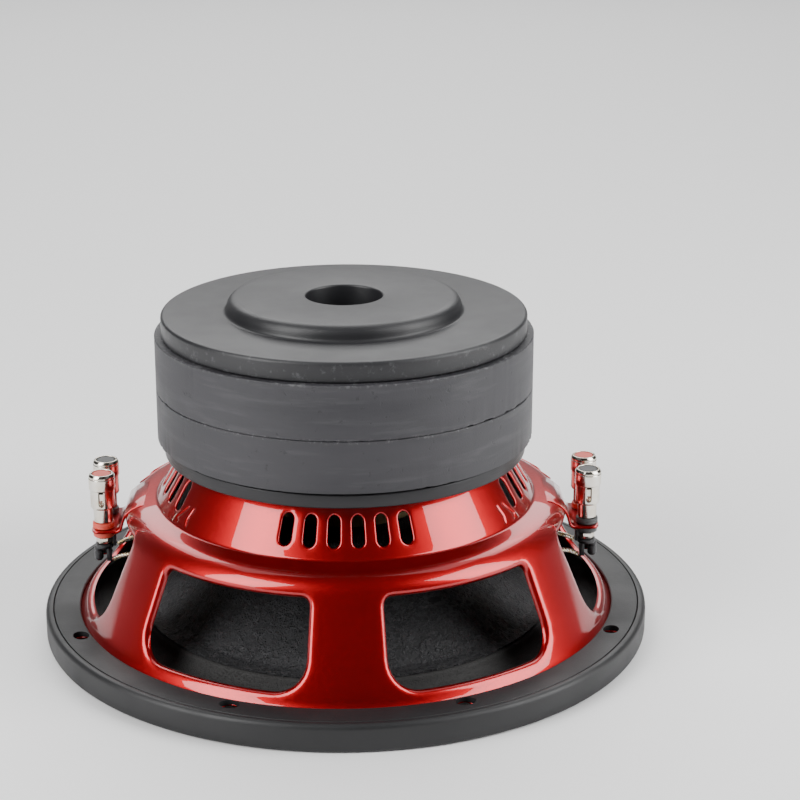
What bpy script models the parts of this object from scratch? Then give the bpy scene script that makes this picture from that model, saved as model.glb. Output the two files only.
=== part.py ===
"""Car subwoofer driver, 10 inch class, with a dual voice coil.

It stands face down on its trim ring with the magnet up. The origin is the centre of the trim
ring's front face, and +Z runs from the front of the driver to its back plate. Sizes below are in
millimetres and are turned into metres where the meshes are made.
"""

import math

import bmesh
import bpy
from mathutils import Matrix, Vector

MM = 0.001
GAP = 0.3
RING_STEPS = 36
INNER_STEPS = 28
SMALL_STEPS = 12

# Trim ring, flange and gasket
RING_RADIUS = 135.0
RING_HEIGHT = 12.0
RING_INNER = 120.5
RING_WALL = 3.4
RING_FLOOR = 6.6
HOLE_COUNT = 8
HOLE_CIRCLE = 124.0
HOLE_LONG = 8.5
HOLE_WIDE = 6.8
FLANGE_RADIUS = RING_RADIUS - RING_WALL - GAP
FLANGE_TOP = 9.3
GASKET_INNER = 119.6

# Basket
STEEL = 1.2
COLLAR_TOP = (71.0, 81.3)
COLLAR_BASE = (84.2, 60.0)
SHELF_EDGE = (90.4, 58.9)
SHELF_ROUND = ((94.2, 57.2), (97.7, 54.4))
WALL_TOP = (100.3, 50.6)
WALL_FOOT = (115.2, 17.5)
FLANGE_ROUND = ((116.9, 13.6), (118.8, 11.0), (121.6, 9.3))
COLLAR_BORE = 61.0
FRONT_WINDOWS = (28.7, 151.3, 208.7, 331.3)
SIDE_WINDOWS = (90.0, 270.0)
FRONT_HALF_ANGLE = 20.0
SIDE_HALF_ANGLE = 22.8
WINDOW_BOTTOM = 16.0
FRONT_WINDOW_TOP = 51.0
SIDE_WINDOW_TOP = 56.4
WINDOW_TOP_RADIUS = 3.5
WINDOW_BOTTOM_RADIUS = 12.0
SLOT_PITCH = 7.4
SLOT_WIDTH = 5.0
SLOT_BOTTOM = 65.0
SLOT_TOP = 76.8
SLOT_GROUPS = ((0, 6), (90, 8), (180, 6), (270, 8))
WALL_CUT = (72.0, 2.0)
COLLAR_CUT = (68.0, 1.4)
TAB_HALF_WIDTH = 15.0
TAB_ROOT = ((85.5, 59.3), (90.2, 58.4), (94.0, 56.6), (96.8, 48.6), (99.4, 46.9))
TAB_END = 112.4
TAB_TOP = 46.9
TAB_HOLE = 3.2

# Magnet motor
TOP_PLATE_RADIUS = 79.6
TOP_PLATE_BOTTOM = 81.6
TOP_PLATE_TOP = 87.5
TOP_PLATE_BORE = 36.0
MAGNET_RADIUS = 82.5
MAGNET_FOOT_RADIUS = 79.0
MAGNET_FOOT_RISE = 1.3
MAGNET_EDGE = 0.8
MAGNET_BORE = 42.0
MAGNET_HEIGHT = 23.4
BACK_PLATE_BOTTOM = 135.2
BACK_PLATE_TOP = 143.8
BACK_PLATE_RADIUS = 79.6
BOSS_RADIUS = 50.5
BOSS_FOOT = 58.0
BOSS_TOP = 150.3
VENT_RADIUS = 16.6
POLE_RADIUS = 31.6
POLE_BOTTOM = 83.0
SCREW_CIRCLE = 66.0
SCREW_HEAD = 3.8
SCREW_SHANK = 2.0
SCREW_CLEARANCE = 0.6
SCREW_HEAD_HEIGHT = 2.5
SCREW_COUNT = 4

# Suspension
ROLL_OUTER = 119.6
ROLL_INNER = 93.2
ROLL_DEPTH = 7.1
LIP_HEIGHT = 7.2
INNER_LIP_HEIGHT = 10.6
FOAM = 0.6
SPIDER_NECK = 33.4
SPIDER_RADIUS = 92.0
SPIDER_HEIGHT = 56.0
SPIDER_WAVES = 5
SPIDER_WAVE_DEPTH = 1.6

# Moving assembly
CONE_RADIUS = 92.0
CONE_SHOULDER = (85.5, 11.9)
CONE_NECK = (34.0, 45.6)
PULP = 0.9
CAP_RADIUS = 64.5
CAP_APEX = 3.4
FORMER_INNER = 32.4
FORMER_BOTTOM = 38.0
FORMER_TOP = 100.0
WINDING_BOTTOM = 70.0
WINDING_TOP = 98.5

# Push terminals
TERMINAL_X = 107.4
TERMINAL_Y = 9.0
SLEEVE_TOP = 72.4
SLEEVE_BOTTOM = 56.4
CAP_STEP = 65.1
CAP_OUTER = 5.8
SLEEVE_OUTER = 5.4
SLEEVE_BORE = 4.5
SLEEVE_CEILING = 70.4
POST_RADIUS = 4.2
POST_TOP = 64.0
POST_BOTTOM = 50.0
STUD_RADIUS = 1.9
STUD_BOTTOM = 38.9
WIRE_HOLE = 1.3
WIRE_HOLE_HEIGHT = 59.4
SLEEVE_SLOT = (2.5, 58.0, 65.4)
SPRING_RADIUS = 3.2
SPRING_WIRE = 0.4
SPRING_TURNS = 2.5
INSULATOR_RADIUS = 4.9
INSULATOR_NECK = 2.9
LOWER_INSULATOR_RADIUS = 4.7
LOWER_INSULATOR_HEIGHT = 2.4
NUT_BORE = 2.6
NUT_RADIUS = 3.7
LUG_TOP = 39.6
LUG_WASHER = (4.0, 2.0)
LUG_LEG_PLACE = (1.9, 34.7)
LUG_LEG_SIZE = (2.0, 3.0, 7.2)
LUG_BARREL_PLACE = (2.7, 34.8)
LUG_BARREL_SIZE = (2.0, 7.0)

# Tinsel leads
LEAD_RADIUS = 1.1
LEAD_ROUTE = (
    (103.8, 9.0, 31.6),
    (102.2, 9.0, 32.3),
    (99.5, 9.4, 33.4),
    (95.0, 10.4, 34.1),
    (89.0, 12.0, 34.0),
    (82.0, 14.0, 33.6),
    (75.0, 15.8, 33.9),
    (68.0, 17.0, 35.0),
    (61.5, 17.6, 36.4),
    (56.0, 17.8, 36.6),
    (52.6, 17.8, 35.9),
)

FINISHES = {
    "basket_paint": ((0.42, 0.006, 0.012), 0.18, 0.0),
    "black_trim": ((0.022, 0.022, 0.024), 0.55, 0.0),
    "black_rubber": ((0.018, 0.018, 0.019), 0.8, 0.0),
    "foam": ((0.030, 0.030, 0.032), 0.9, 0.0),
    "ferrite": ((0.105, 0.105, 0.112), 0.6, 0.0),
    "zinc_plate": ((0.17, 0.18, 0.19), 0.45, 0.6),
    "black_steel": ((0.028, 0.028, 0.030), 0.4, 0.0),
    "pulp": ((0.020, 0.020, 0.021), 0.85, 0.0),
    "woven_skin": ((0.12, 0.12, 0.13), 0.45, 0.2),
    "band_cloth": ((0.035, 0.035, 0.037), 0.8, 0.0),
    "cap_satin": ((0.030, 0.027, 0.038), 0.35, 0.0),
    "spider_cloth": ((0.035, 0.032, 0.034), 0.9, 0.0),
    "coil_former": ((0.55, 0.42, 0.22), 0.5, 0.0),
    "copper": ((0.60, 0.22, 0.10), 0.35, 0.9),
    "nickel": ((0.72, 0.69, 0.64), 0.22, 1.0),
    "steel": ((0.50, 0.50, 0.50), 0.35, 1.0),
    "lug_metal": ((0.05, 0.05, 0.052), 0.4, 0.5),
    "red_plastic": ((0.62, 0.045, 0.035), 0.45, 0.0),
    "black_plastic": ((0.030, 0.030, 0.032), 0.5, 0.0),
    "braid": ((0.66, 0.58, 0.42), 0.4, 0.9),
}


def clear_scene():
    """Removes what the scene holds."""
    for old in list(bpy.data.objects):
        bpy.data.objects.remove(old, do_unlink=True)


def make_collection(name):
    """A new collection in the scene."""
    collection = bpy.data.collections.new(name)
    bpy.context.scene.collection.children.link(collection)
    return collection


clear_scene()
PARTS = make_collection("car_subwoofer")
CUTTERS = make_collection("cutters")


def make_finishes():
    """One Principled material for each finish."""
    made = {}
    for name, (colour, roughness, metallic) in FINISHES.items():
        material = bpy.data.materials.new(name)
        material.use_nodes = True
        shader = material.node_tree.nodes["Principled BSDF"]
        shader.inputs["Base Color"].default_value = (*colour, 1.0)
        shader.inputs["Roughness"].default_value = roughness
        shader.inputs["Metallic"].default_value = metallic
        made[name] = material
    return made


MATERIALS = make_finishes()


def polar(radius, degrees, height=0.0):
    """A point in millimetres. Zero degrees is -Y and 90 degrees is +X."""
    angle = math.radians(degrees)
    return Vector((radius * math.sin(angle), -radius * math.cos(angle), height))


def add_object(name, mesh, finish=None, smooth=True):
    """A mesh as a part with a finish, or as a cutter without one."""
    thing = bpy.data.objects.new(name, mesh)
    if finish is None:
        CUTTERS.objects.link(thing)
        thing.hide_render = True
        thing.display_type = "WIRE"
        return thing
    PARTS.objects.link(thing)
    mesh.materials.clear()
    mesh.materials.append(MATERIALS[finish])
    if smooth:
        mesh.shade_smooth()
        mesh.set_sharp_from_angle(angle=math.radians(35))
    return thing


def line_mesh(name, points, closed):
    """Points (radius, height) in millimetres as an outline in the XZ plane."""
    mesh = bpy.data.meshes.new(name)
    count = len(points)
    edges = [(i, i + 1) for i in range(count - 1)]
    if closed:
        edges.append((count - 1, 0))
    mesh.from_pydata([(r * MM, 0, z * MM) for r, z in points], edges, [])
    return mesh


def turn(thing, steps):
    """Turns an outline about Z."""
    screw = thing.modifiers.new("turned", "SCREW")
    screw.axis = "Z"
    screw.angle = math.tau
    screw.steps = steps
    screw.render_steps = steps
    screw.use_merge_vertices = True
    screw.merge_threshold = 0.00001
    screw.use_smooth_shade = True
    return screw


def turned_solid(name, points, finish, steps=RING_STEPS, closed=True):
    """A solid of revolution. The outline runs down its outer side."""
    thing = add_object(name, line_mesh(name, points, closed), finish, smooth=False)
    turn(thing, steps)
    return thing


def turned_shell(name, points, thickness, finish, steps=RING_STEPS, offset=-1.0):
    """A turned sheet with a thickness."""
    thing = turned_solid(name, points, finish, steps, closed=False)
    shell = thing.modifiers.new("thickness", "SOLIDIFY")
    shell.thickness = thickness * MM
    shell.offset = offset
    shell.use_even_offset = True
    return thing


def tube_outline(inner, outer, bottom, top):
    """Outline of a plain ring."""
    return [(inner, top), (outer, top), (outer, bottom), (inner, bottom)]


def arc(centre, radius, start, end, count):
    """Points on an arc in the plane of an outline, angles in degrees from +radius."""
    points = []
    for i in range(count + 1):
        angle = math.radians(start + (end - start) * i / count)
        points.append((centre[0] + radius * math.cos(angle), centre[1] + radius * math.sin(angle)))
    return points


def frozen(thing):
    """The object's mesh with its modifiers applied, after which the object is removed."""
    bpy.context.view_layer.update()
    graph = bpy.context.evaluated_depsgraph_get()
    mesh = bpy.data.meshes.new_from_object(thing.evaluated_get(graph))
    mesh.name = thing.name
    bpy.data.objects.remove(thing)
    return mesh


def boolean(thing, other, operation):
    """Cuts a cutter out of an object, or joins it on."""
    modifier = thing.modifiers.new(other.name, "BOOLEAN")
    modifier.operation = operation
    modifier.solver = "EXACT"
    modifier.object = other


def outline_prism(bm, outline, reach):
    """A solid whose outline grows by the factor reach away from the Z axis."""
    face = bm.faces.new([bm.verts.new(point) for point in outline])
    grown = bmesh.ops.extrude_face_region(bm, geom=[face])["geom"]
    for vert in grown:
        if isinstance(vert, bmesh.types.BMVert):
            vert.co.x *= reach
            vert.co.y *= reach


def finish_cutter(name, bm):
    """Turns a bmesh into a cutter with its faces out."""
    bmesh.ops.recalc_face_normals(bm, faces=bm.faces)
    mesh = bpy.data.meshes.new(name)
    bm.to_mesh(mesh)
    bm.free()
    return add_object(name, mesh)


def cylinder_cutter(name, places, radius, depth, matrix=Matrix(), segments=SMALL_STEPS):
    """Cylinders of one radius, each shaped by the matrix and put at a place in millimetres."""
    bm = bmesh.new()
    for place in places:
        bmesh.ops.create_cone(
            bm,
            cap_ends=True,
            segments=segments,
            radius1=radius * MM,
            radius2=radius * MM,
            depth=depth * MM,
            matrix=Matrix.Translation(place * MM) @ matrix,
        )
    return finish_cutter(name, bm)


def hole_cutter():
    """The oval mounting holes, which are longer along the ring than across it."""
    bm = bmesh.new()
    for i in range(HOLE_COUNT):
        degrees = 360 / HOLE_COUNT * (i + 0.5)
        turn_to = Matrix.Rotation(math.radians(degrees), 4, "Z")
        stretch = Matrix.Diagonal((HOLE_LONG / 2 * MM, HOLE_WIDE / 2 * MM, MM, 1))
        bmesh.ops.create_cone(
            bm,
            cap_ends=True,
            segments=SMALL_STEPS,
            radius1=1,
            radius2=1,
            depth=4 * RING_HEIGHT,
            matrix=Matrix.Translation(polar(HOLE_CIRCLE, degrees) * MM) @ turn_to @ stretch,
        )
    return finish_cutter("mounting_hole_cutter", bm)


def window_outline(half_angle, top):
    """One window's outline as (distance along the wall, height), with round corners."""
    half = math.radians(half_angle) * (WALL_TOP[0] + WALL_FOOT[0]) / 2
    low, high = WINDOW_BOTTOM_RADIUS, WINDOW_TOP_RADIUS
    points = arc((half - low, WINDOW_BOTTOM + low), low, -90, 0, 4)
    points += arc((half - high, top - high), high, 0, 90, 2)
    points += arc((-half + high, top - high), high, 90, 180, 2)
    points += arc((-half + low, WINDOW_BOTTOM + low), low, 180, 270, 4)
    return points


def stadium_outline(width, bottom, top):
    """A slot's outline, with round ends."""
    radius = width / 2
    return arc((0, top - radius), radius, 0, 180, 3) + arc((0, bottom + radius), radius, 180, 360, 3)


def wall_cutter(name, outline, middle_radius, azimuths, depth):
    """Cuts one outline through a turned wall at several azimuths.

    The depth is the radius where the cut starts and the factor by which it grows outwards.
    """
    inner, reach = depth
    bm = bmesh.new()
    for azimuth in azimuths:
        points = []
        for along, height in outline:
            degrees = azimuth + math.degrees(along / middle_radius)
            points.append(polar(inner, degrees, height) * MM)
        outline_prism(bm, points, reach)
    return finish_cutter(name, bm)


def make_basket(holes):
    """The stamped steel frame: collar, shelf, windowed wall, flange and terminal tabs."""
    profile = [
        (COLLAR_BORE, COLLAR_TOP[1]),
        (COLLAR_TOP[0] - 1.0, COLLAR_TOP[1]),
        (COLLAR_TOP[0] + 0.3, COLLAR_TOP[1] - 0.7),
        (COLLAR_BASE[0] - 1.0, COLLAR_BASE[1] + 1.4),
        (COLLAR_BASE[0] + 0.6, COLLAR_BASE[1] - 0.1),
        SHELF_EDGE,
        *SHELF_ROUND,
        WALL_TOP,
        WALL_FOOT,
        *FLANGE_ROUND,
        (FLANGE_RADIUS, FLANGE_TOP),
    ]
    basket = turned_shell("basket", profile, STEEL, "basket_paint")
    middle = (WALL_TOP[0] + WALL_FOOT[0]) / 2
    front = window_outline(FRONT_HALF_ANGLE, FRONT_WINDOW_TOP)
    side = window_outline(SIDE_HALF_ANGLE, SIDE_WINDOW_TOP)
    cutter = wall_cutter("front_window_cutter", front, middle, FRONT_WINDOWS, WALL_CUT)
    boolean(basket, cutter, "DIFFERENCE")
    cutter = wall_cutter("side_window_cutter", side, middle, SIDE_WINDOWS, WALL_CUT)
    boolean(basket, cutter, "DIFFERENCE")
    slots = []
    for centre, count in SLOT_GROUPS:
        slots += [centre + (i - (count - 1) / 2) * SLOT_PITCH for i in range(count)]
    outline = stadium_outline(SLOT_WIDTH, SLOT_BOTTOM, SLOT_TOP)
    middle = (COLLAR_TOP[0] + COLLAR_BASE[0]) / 2
    boolean(basket, wall_cutter("slot_cutter", outline, middle, slots, COLLAR_CUT), "DIFFERENCE")
    boolean(basket, holes, "DIFFERENCE")
    boolean(basket, screw_hole_cutter(), "DIFFERENCE")
    for side in (-1, 1):
        boolean(basket, make_tab(side), "UNION")
    boolean(basket, tab_hole_cutter(), "DIFFERENCE")
    return basket


def make_tab(side):
    """A terminal tab, which leaves the shelf's edge, drops and runs out flat."""
    name = "tab_left" if side < 0 else "tab_right"
    top = [*TAB_ROOT, (TAB_END, TAB_TOP)]
    outline = top + offset_line(top, STEEL)[::-1]
    outline = [(side * x, z) for x, z in outline]
    return bar_cutter(name, outline, -TAB_HALF_WIDTH, TAB_HALF_WIDTH)


def offset_line(points, distance):
    """The line at a distance below or inside a line that runs outwards, with its corners kept."""
    moved = []
    for i, point in enumerate(points):
        here = Vector(point)
        before = (here - Vector(points[max(i - 1, 0)])).normalized()
        after = (Vector(points[min(i + 1, len(points) - 1)]) - here).normalized()
        along = (before + after).normalized()
        across = Vector((along.y, -along.x))
        straight = after if i == 0 else before
        cosine = across.dot(Vector((straight.y, -straight.x)))
        moved.append(tuple(here + across * distance / cosine))
    return moved


def bar_cutter(name, outline, start, end):
    """An outline of (x, height) as a bar along Y."""
    bm = bmesh.new()
    face = bm.faces.new([bm.verts.new((x * MM, start * MM, z * MM)) for x, z in outline])
    grown = bmesh.ops.extrude_face_region(bm, geom=[face])["geom"]
    moved = [part for part in grown if isinstance(part, bmesh.types.BMVert)]
    bmesh.ops.translate(bm, verts=moved, vec=(0, (end - start) * MM, 0))
    return finish_cutter(name, bm)


def tab_hole_cutter():
    """Holes in the tabs for the terminals."""
    places = [Vector((x, y, TAB_TOP)) for x, y in terminal_places().values()]
    return cylinder_cutter("tab_hole_cutter", places, TAB_HOLE, 6)


def screw_places(height):
    """Where the screws that hold the basket to the top plate stand."""
    return [polar(SCREW_CIRCLE, 45 + 360 / SCREW_COUNT * i, height) for i in range(SCREW_COUNT)]


def screw_hole_cutter():
    """Clearance holes through the basket's collar and the top plate."""
    middle = (COLLAR_TOP[1] + TOP_PLATE_TOP) / 2
    return cylinder_cutter("screw_hole_cutter", screw_places(middle), SCREW_SHANK + SCREW_CLEARANCE, 16)


def make_rings(holes):
    """The trim ring on the front, the gasket on the back and the foam surround between."""
    wall_inner = RING_RADIUS - RING_WALL
    outer = [(wall_inner, RING_HEIGHT)]
    outer += arc((RING_RADIUS - 2.3, RING_HEIGHT - 2.3), 2.3, 90, 0, 3)
    outer += [
        (RING_RADIUS, 1.5),
        (RING_RADIUS - 1.5, 0),
        (RING_INNER + 1.5, 0),
        (RING_INNER, 1.5),
        (RING_INNER, RING_FLOOR),
        (wall_inner, RING_FLOOR),
    ]
    boolean(turned_solid("trim_ring", outer, "black_trim"), holes, "DIFFERENCE")
    gasket = tube_outline(GASKET_INNER, FLANGE_RADIUS, FLANGE_TOP + GAP, RING_HEIGHT)
    gasket[0:1] = [(GASKET_INNER, RING_HEIGHT - 0.6), (GASKET_INNER + 0.6, RING_HEIGHT)]
    gasket[-1] = (GASKET_INNER + 2.2, FLANGE_TOP + GAP)
    boolean(turned_solid("rear_gasket", gasket, "black_rubber"), holes, "DIFFERENCE")
    surround = turned_shell("surround", surround_line(), FOAM, "foam", offset=0)
    boolean(surround, holes, "DIFFERENCE")


def surround_line():
    """Middle of the foam sheet: outer lip, half roll, inner lip."""
    points = [(130.6, LIP_HEIGHT), (ROLL_OUTER + 1.2, LIP_HEIGHT)]
    middle, half = (ROLL_OUTER + ROLL_INNER) / 2, (ROLL_OUTER - ROLL_INNER) / 2
    for i in range(9):
        angle = math.pi * i / 8
        share = (1 - math.cos(angle)) / 2
        base = LIP_HEIGHT + (INNER_LIP_HEIGHT - LIP_HEIGHT) * share
        points.append((middle + half * math.cos(angle), base - ROLL_DEPTH * math.sin(angle)))
    points += [(ROLL_INNER - 1.2, INNER_LIP_HEIGHT), (86.4, INNER_LIP_HEIGHT)]
    return points[::-1]


def make_motor():
    """Top plate, two ferrite rings and the T-yoke with its pole and vent."""
    plate = tube_outline(TOP_PLATE_BORE, TOP_PLATE_RADIUS, TOP_PLATE_BOTTOM, TOP_PLATE_TOP)
    top_plate = turned_solid("top_plate", plate, "zinc_plate")
    boolean(top_plate, bpy.data.objects["screw_hole_cutter"], "DIFFERENCE")
    bottom = TOP_PLATE_TOP + GAP
    feet = (
        ("magnet_lower", MAGNET_FOOT_RADIUS, MAGNET_FOOT_RISE),
        ("magnet_upper", MAGNET_RADIUS - MAGNET_EDGE, MAGNET_EDGE),
    )
    for name, foot, rise in feet:
        top = bottom + MAGNET_HEIGHT
        ring = [
            (MAGNET_BORE, top),
            (MAGNET_RADIUS - MAGNET_EDGE, top),
            (MAGNET_RADIUS, top - MAGNET_EDGE),
            (MAGNET_RADIUS, bottom + rise),
            (foot, bottom),
            (MAGNET_BORE, bottom),
        ]
        turned_solid(name, ring, "ferrite")
        bottom = top + GAP
    yoke = [(VENT_RADIUS, BOSS_TOP - 1.0), (VENT_RADIUS + 1.0, BOSS_TOP)]
    yoke += arc((BOSS_RADIUS - 3.0, BOSS_TOP - 3.0), 3.0, 90, 20, 3)
    yoke += [(BOSS_RADIUS + 1.6, BACK_PLATE_TOP + 2.0), (BOSS_RADIUS + 3.6, BACK_PLATE_TOP + 0.6)]
    yoke += [(BOSS_FOOT, BACK_PLATE_TOP)]
    yoke += arc((BACK_PLATE_RADIUS - 1.6, BACK_PLATE_TOP - 1.6), 1.6, 90, 0, 2)
    yoke += [
        (BACK_PLATE_RADIUS, BACK_PLATE_BOTTOM + 0.6),
        (BACK_PLATE_RADIUS - 0.6, BACK_PLATE_BOTTOM),
        (POLE_RADIUS, BACK_PLATE_BOTTOM),
        (POLE_RADIUS, POLE_BOTTOM),
        (VENT_RADIUS + 4.0, POLE_BOTTOM),
        (VENT_RADIUS, POLE_BOTTOM + 9.0),
    ]
    turned_solid("t_yoke", yoke, "black_steel")


def make_screws():
    """Pan head screws that go up through the collar into the top plate."""
    head_top = COLLAR_TOP[1] - STEEL - GAP
    shank_top = TOP_PLATE_TOP - 0.6
    outline = [
        (0, shank_top),
        (SCREW_SHANK - 0.4, shank_top),
        (SCREW_SHANK, shank_top - 0.6),
        (SCREW_SHANK, head_top),
        (SCREW_HEAD, head_top),
        (SCREW_HEAD, head_top - 1.2),
        (SCREW_HEAD - 1.3, head_top - SCREW_HEAD_HEIGHT),
        (0, head_top - SCREW_HEAD_HEIGHT),
    ]
    pattern = turned_solid("screw_pattern", outline, "steel", 8, closed=False)
    mesh = frozen(pattern)
    for i, place in enumerate(screw_places(0)):
        screw = add_object(f"plate_screw_{i + 1}", mesh, "steel")
        screw.location = place * MM


def spider_line():
    """Middle of the spider: neck, corrugations and the land glued under the shelf."""
    low, high = SPIDER_NECK + 3.0, SPIDER_RADIUS - 8.0
    points = [(SPIDER_NECK, SPIDER_HEIGHT - 3.0), (SPIDER_NECK, SPIDER_HEIGHT - 0.6)]
    count = SPIDER_WAVES * 2
    for i in range(count + 1):
        height = SPIDER_HEIGHT - SPIDER_WAVE_DEPTH * (i % 2)
        points.append((low + (high - low) * i / count, height))
    points.append((SPIDER_RADIUS, SPIDER_HEIGHT))
    return points


def cone_height(radius):
    """Height of the cone's back at a radius."""
    share = (CONE_SHOULDER[0] - radius) / (CONE_SHOULDER[0] - CONE_NECK[0])
    return CONE_SHOULDER[1] + (CONE_NECK[1] - CONE_SHOULDER[1]) * share


def make_moving_assembly(axis):
    """Cone, its woven skin, sewn band, dust cap, coil former and both voice coils."""
    cone = [CONE_NECK, (60.0, cone_height(60.0) + 0.6), CONE_SHOULDER]
    cone += [(CONE_SHOULDER[0] + 1.5, CONE_SHOULDER[1] + 0.1), (CONE_RADIUS, CONE_SHOULDER[1] + 0.1)]
    pieces = [turned_shell("cone", cone, PULP, "pulp", INNER_STEPS)]
    low = PULP * 1.25 + GAP
    skin = [(radius, cone_height(radius) - low) for radius in (60.2, 84.6)]
    skin[0] = (skin[0][0], skin[0][1] + 0.5)
    pieces.append(turned_shell("cone_skin", skin, 0.4, "woven_skin", INNER_STEPS))
    band = tube_outline(85.0, 92.3, INNER_LIP_HEIGHT - 1.3, INNER_LIP_HEIGHT - FOAM / 2 - GAP)
    pieces.append(turned_solid("stitch_band", band, "band_cloth", INNER_STEPS))
    pieces.append(turned_shell("dust_cap", dust_cap_line(), 0.8, "cap_satin", INNER_STEPS))
    outer = FORMER_INNER + 0.5
    former = tube_outline(FORMER_INNER, outer, FORMER_BOTTOM, FORMER_TOP)
    pieces.append(turned_solid("coil_former", former, "coil_former", INNER_STEPS))
    for name, inner in (("winding_inner", outer + GAP), ("winding_outer", outer + 2 * GAP + 0.9)):
        winding = tube_outline(inner, inner + 0.9, WINDING_BOTTOM, WINDING_TOP)
        pieces.append(turned_solid(name, winding, "copper", INNER_STEPS))
    for piece in pieces:
        piece.parent = axis


def dust_cap_line():
    """Back of the dust cap: rim on the cone, then a dome towards the front."""
    rim_height = cone_height(CAP_RADIUS) - 2.6
    points = [(CAP_RADIUS, rim_height), (CAP_RADIUS - 3.4, rim_height + 0.4)]
    reach = CAP_RADIUS - 5.0
    depth = rim_height - CAP_APEX - 0.8
    for i in range(7):
        angle = math.radians(13 * i + 12)
        points.append((reach * math.cos(angle), rim_height - depth * math.sin(angle)))
    return points[::-1]


def terminal_places():
    """Name and place of each push terminal."""
    places = {}
    for side, x in (("left", -TERMINAL_X), ("right", TERMINAL_X)):
        for row, y in (("front", -TERMINAL_Y), ("rear", TERMINAL_Y)):
            places[f"{side}_{row}"] = (x, y)
    return places


def sleeve_mesh():
    """The push sleeve: chamfered cap, slotted barrel and a blind bore from below."""
    outline = [
        (0, SLEEVE_TOP - 0.9),
        (4.3, SLEEVE_TOP - 0.9),
        (4.3, SLEEVE_TOP),
        (CAP_OUTER - 0.9, SLEEVE_TOP),
        (CAP_OUTER, SLEEVE_TOP - 1.1),
        (CAP_OUTER, CAP_STEP + 0.4),
        (SLEEVE_OUTER, CAP_STEP),
        (SLEEVE_OUTER, SLEEVE_BOTTOM + 0.6),
        (SLEEVE_OUTER - 0.5, SLEEVE_BOTTOM),
        (SLEEVE_BORE, SLEEVE_BOTTOM),
        (SLEEVE_BORE, SLEEVE_CEILING),
        (0, SLEEVE_CEILING),
    ]
    sleeve = turned_solid("sleeve_pattern", outline, "nickel", SMALL_STEPS, closed=False)
    slot = bar_cutter("sleeve_slot_cutter", stadium_outline(*SLEEVE_SLOT), -8, 8)
    boolean(sleeve, slot, "DIFFERENCE")
    return frozen(sleeve)


def post_mesh():
    """The fixed post with its wire hole, and the stud below it."""
    outline = [
        (0, POST_TOP),
        (POST_RADIUS - 0.4, POST_TOP),
        (POST_RADIUS, POST_TOP - 0.4),
        (POST_RADIUS, POST_BOTTOM),
        (STUD_RADIUS, POST_BOTTOM),
        (STUD_RADIUS, STUD_BOTTOM + 0.3),
        (STUD_RADIUS - 0.3, STUD_BOTTOM),
        (0, STUD_BOTTOM),
    ]
    post = turned_solid("post_pattern", outline, "nickel", SMALL_STEPS, closed=False)
    across = Matrix.Rotation(math.radians(90), 4, "X")
    place = [Vector((0, 0, WIRE_HOLE_HEIGHT))]
    hole = cylinder_cutter("wire_hole_cutter", place, WIRE_HOLE, 12, across, 12)
    boolean(post, hole, "DIFFERENCE")
    return frozen(post)


def spring_mesh():
    """The coil spring between the post and the sleeve's ceiling."""
    low, high = POST_TOP + GAP + SPRING_WIRE, SLEEVE_CEILING - GAP - SPRING_WIRE
    steps = 20
    curve = bpy.data.curves.new("spring_pattern", "CURVE")
    curve.dimensions = "3D"
    curve.bevel_depth = SPRING_WIRE * MM
    curve.bevel_resolution = 1
    curve.use_fill_caps = True
    spline = curve.splines.new("POLY")
    spline.points.add(steps)
    for i, point in enumerate(spline.points):
        angle = math.tau * SPRING_TURNS * i / steps
        height = low + (high - low) * i / steps
        x, y = SPRING_RADIUS * math.cos(angle), SPRING_RADIUS * math.sin(angle)
        point.co = (x * MM, y * MM, height * MM, 1)
    return curve_mesh("spring_pattern", curve)


def curve_mesh(name, curve):
    """A curve's tube as a closed mesh."""
    thing = bpy.data.objects.new(name, curve)
    CUTTERS.objects.link(thing)
    mesh = frozen(thing)
    bm = bmesh.new()
    bm.from_mesh(mesh)
    bmesh.ops.remove_doubles(bm, verts=bm.verts, dist=0.000001)
    bmesh.ops.recalc_face_normals(bm, faces=bm.faces)
    bm.to_mesh(mesh)
    bm.free()
    return mesh


def lug_mesh(side):
    """The solder lug: a washer on the stud, an inner leg for the lead and an outer barrel."""
    radius, thickness = LUG_WASHER
    washer = tube_outline(STUD_RADIUS + GAP, radius, LUG_TOP - thickness, LUG_TOP)
    lug = turned_solid("lug_pattern", washer, "lug_metal", SMALL_STEPS)
    bm = bmesh.new()
    leg = Matrix.Translation(Vector((-side * LUG_LEG_PLACE[0], 0, LUG_LEG_PLACE[1])) * MM)
    size = Matrix.Diagonal((*(Vector(LUG_LEG_SIZE) * MM), 1))
    bmesh.ops.create_cube(bm, size=1, matrix=leg @ size)
    boolean(lug, finish_cutter("inner_leg", bm), "UNION")
    place = [Vector((side * LUG_BARREL_PLACE[0], 0, LUG_BARREL_PLACE[1]))]
    boolean(lug, cylinder_cutter("outer_barrel", place, *LUG_BARREL_SIZE, segments=12), "UNION")
    return frozen(lug)


def insulator_mesh(name, outline, finish):
    """A terminal's insulating washer."""
    return frozen(turned_solid(name, outline, finish, SMALL_STEPS))


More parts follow.
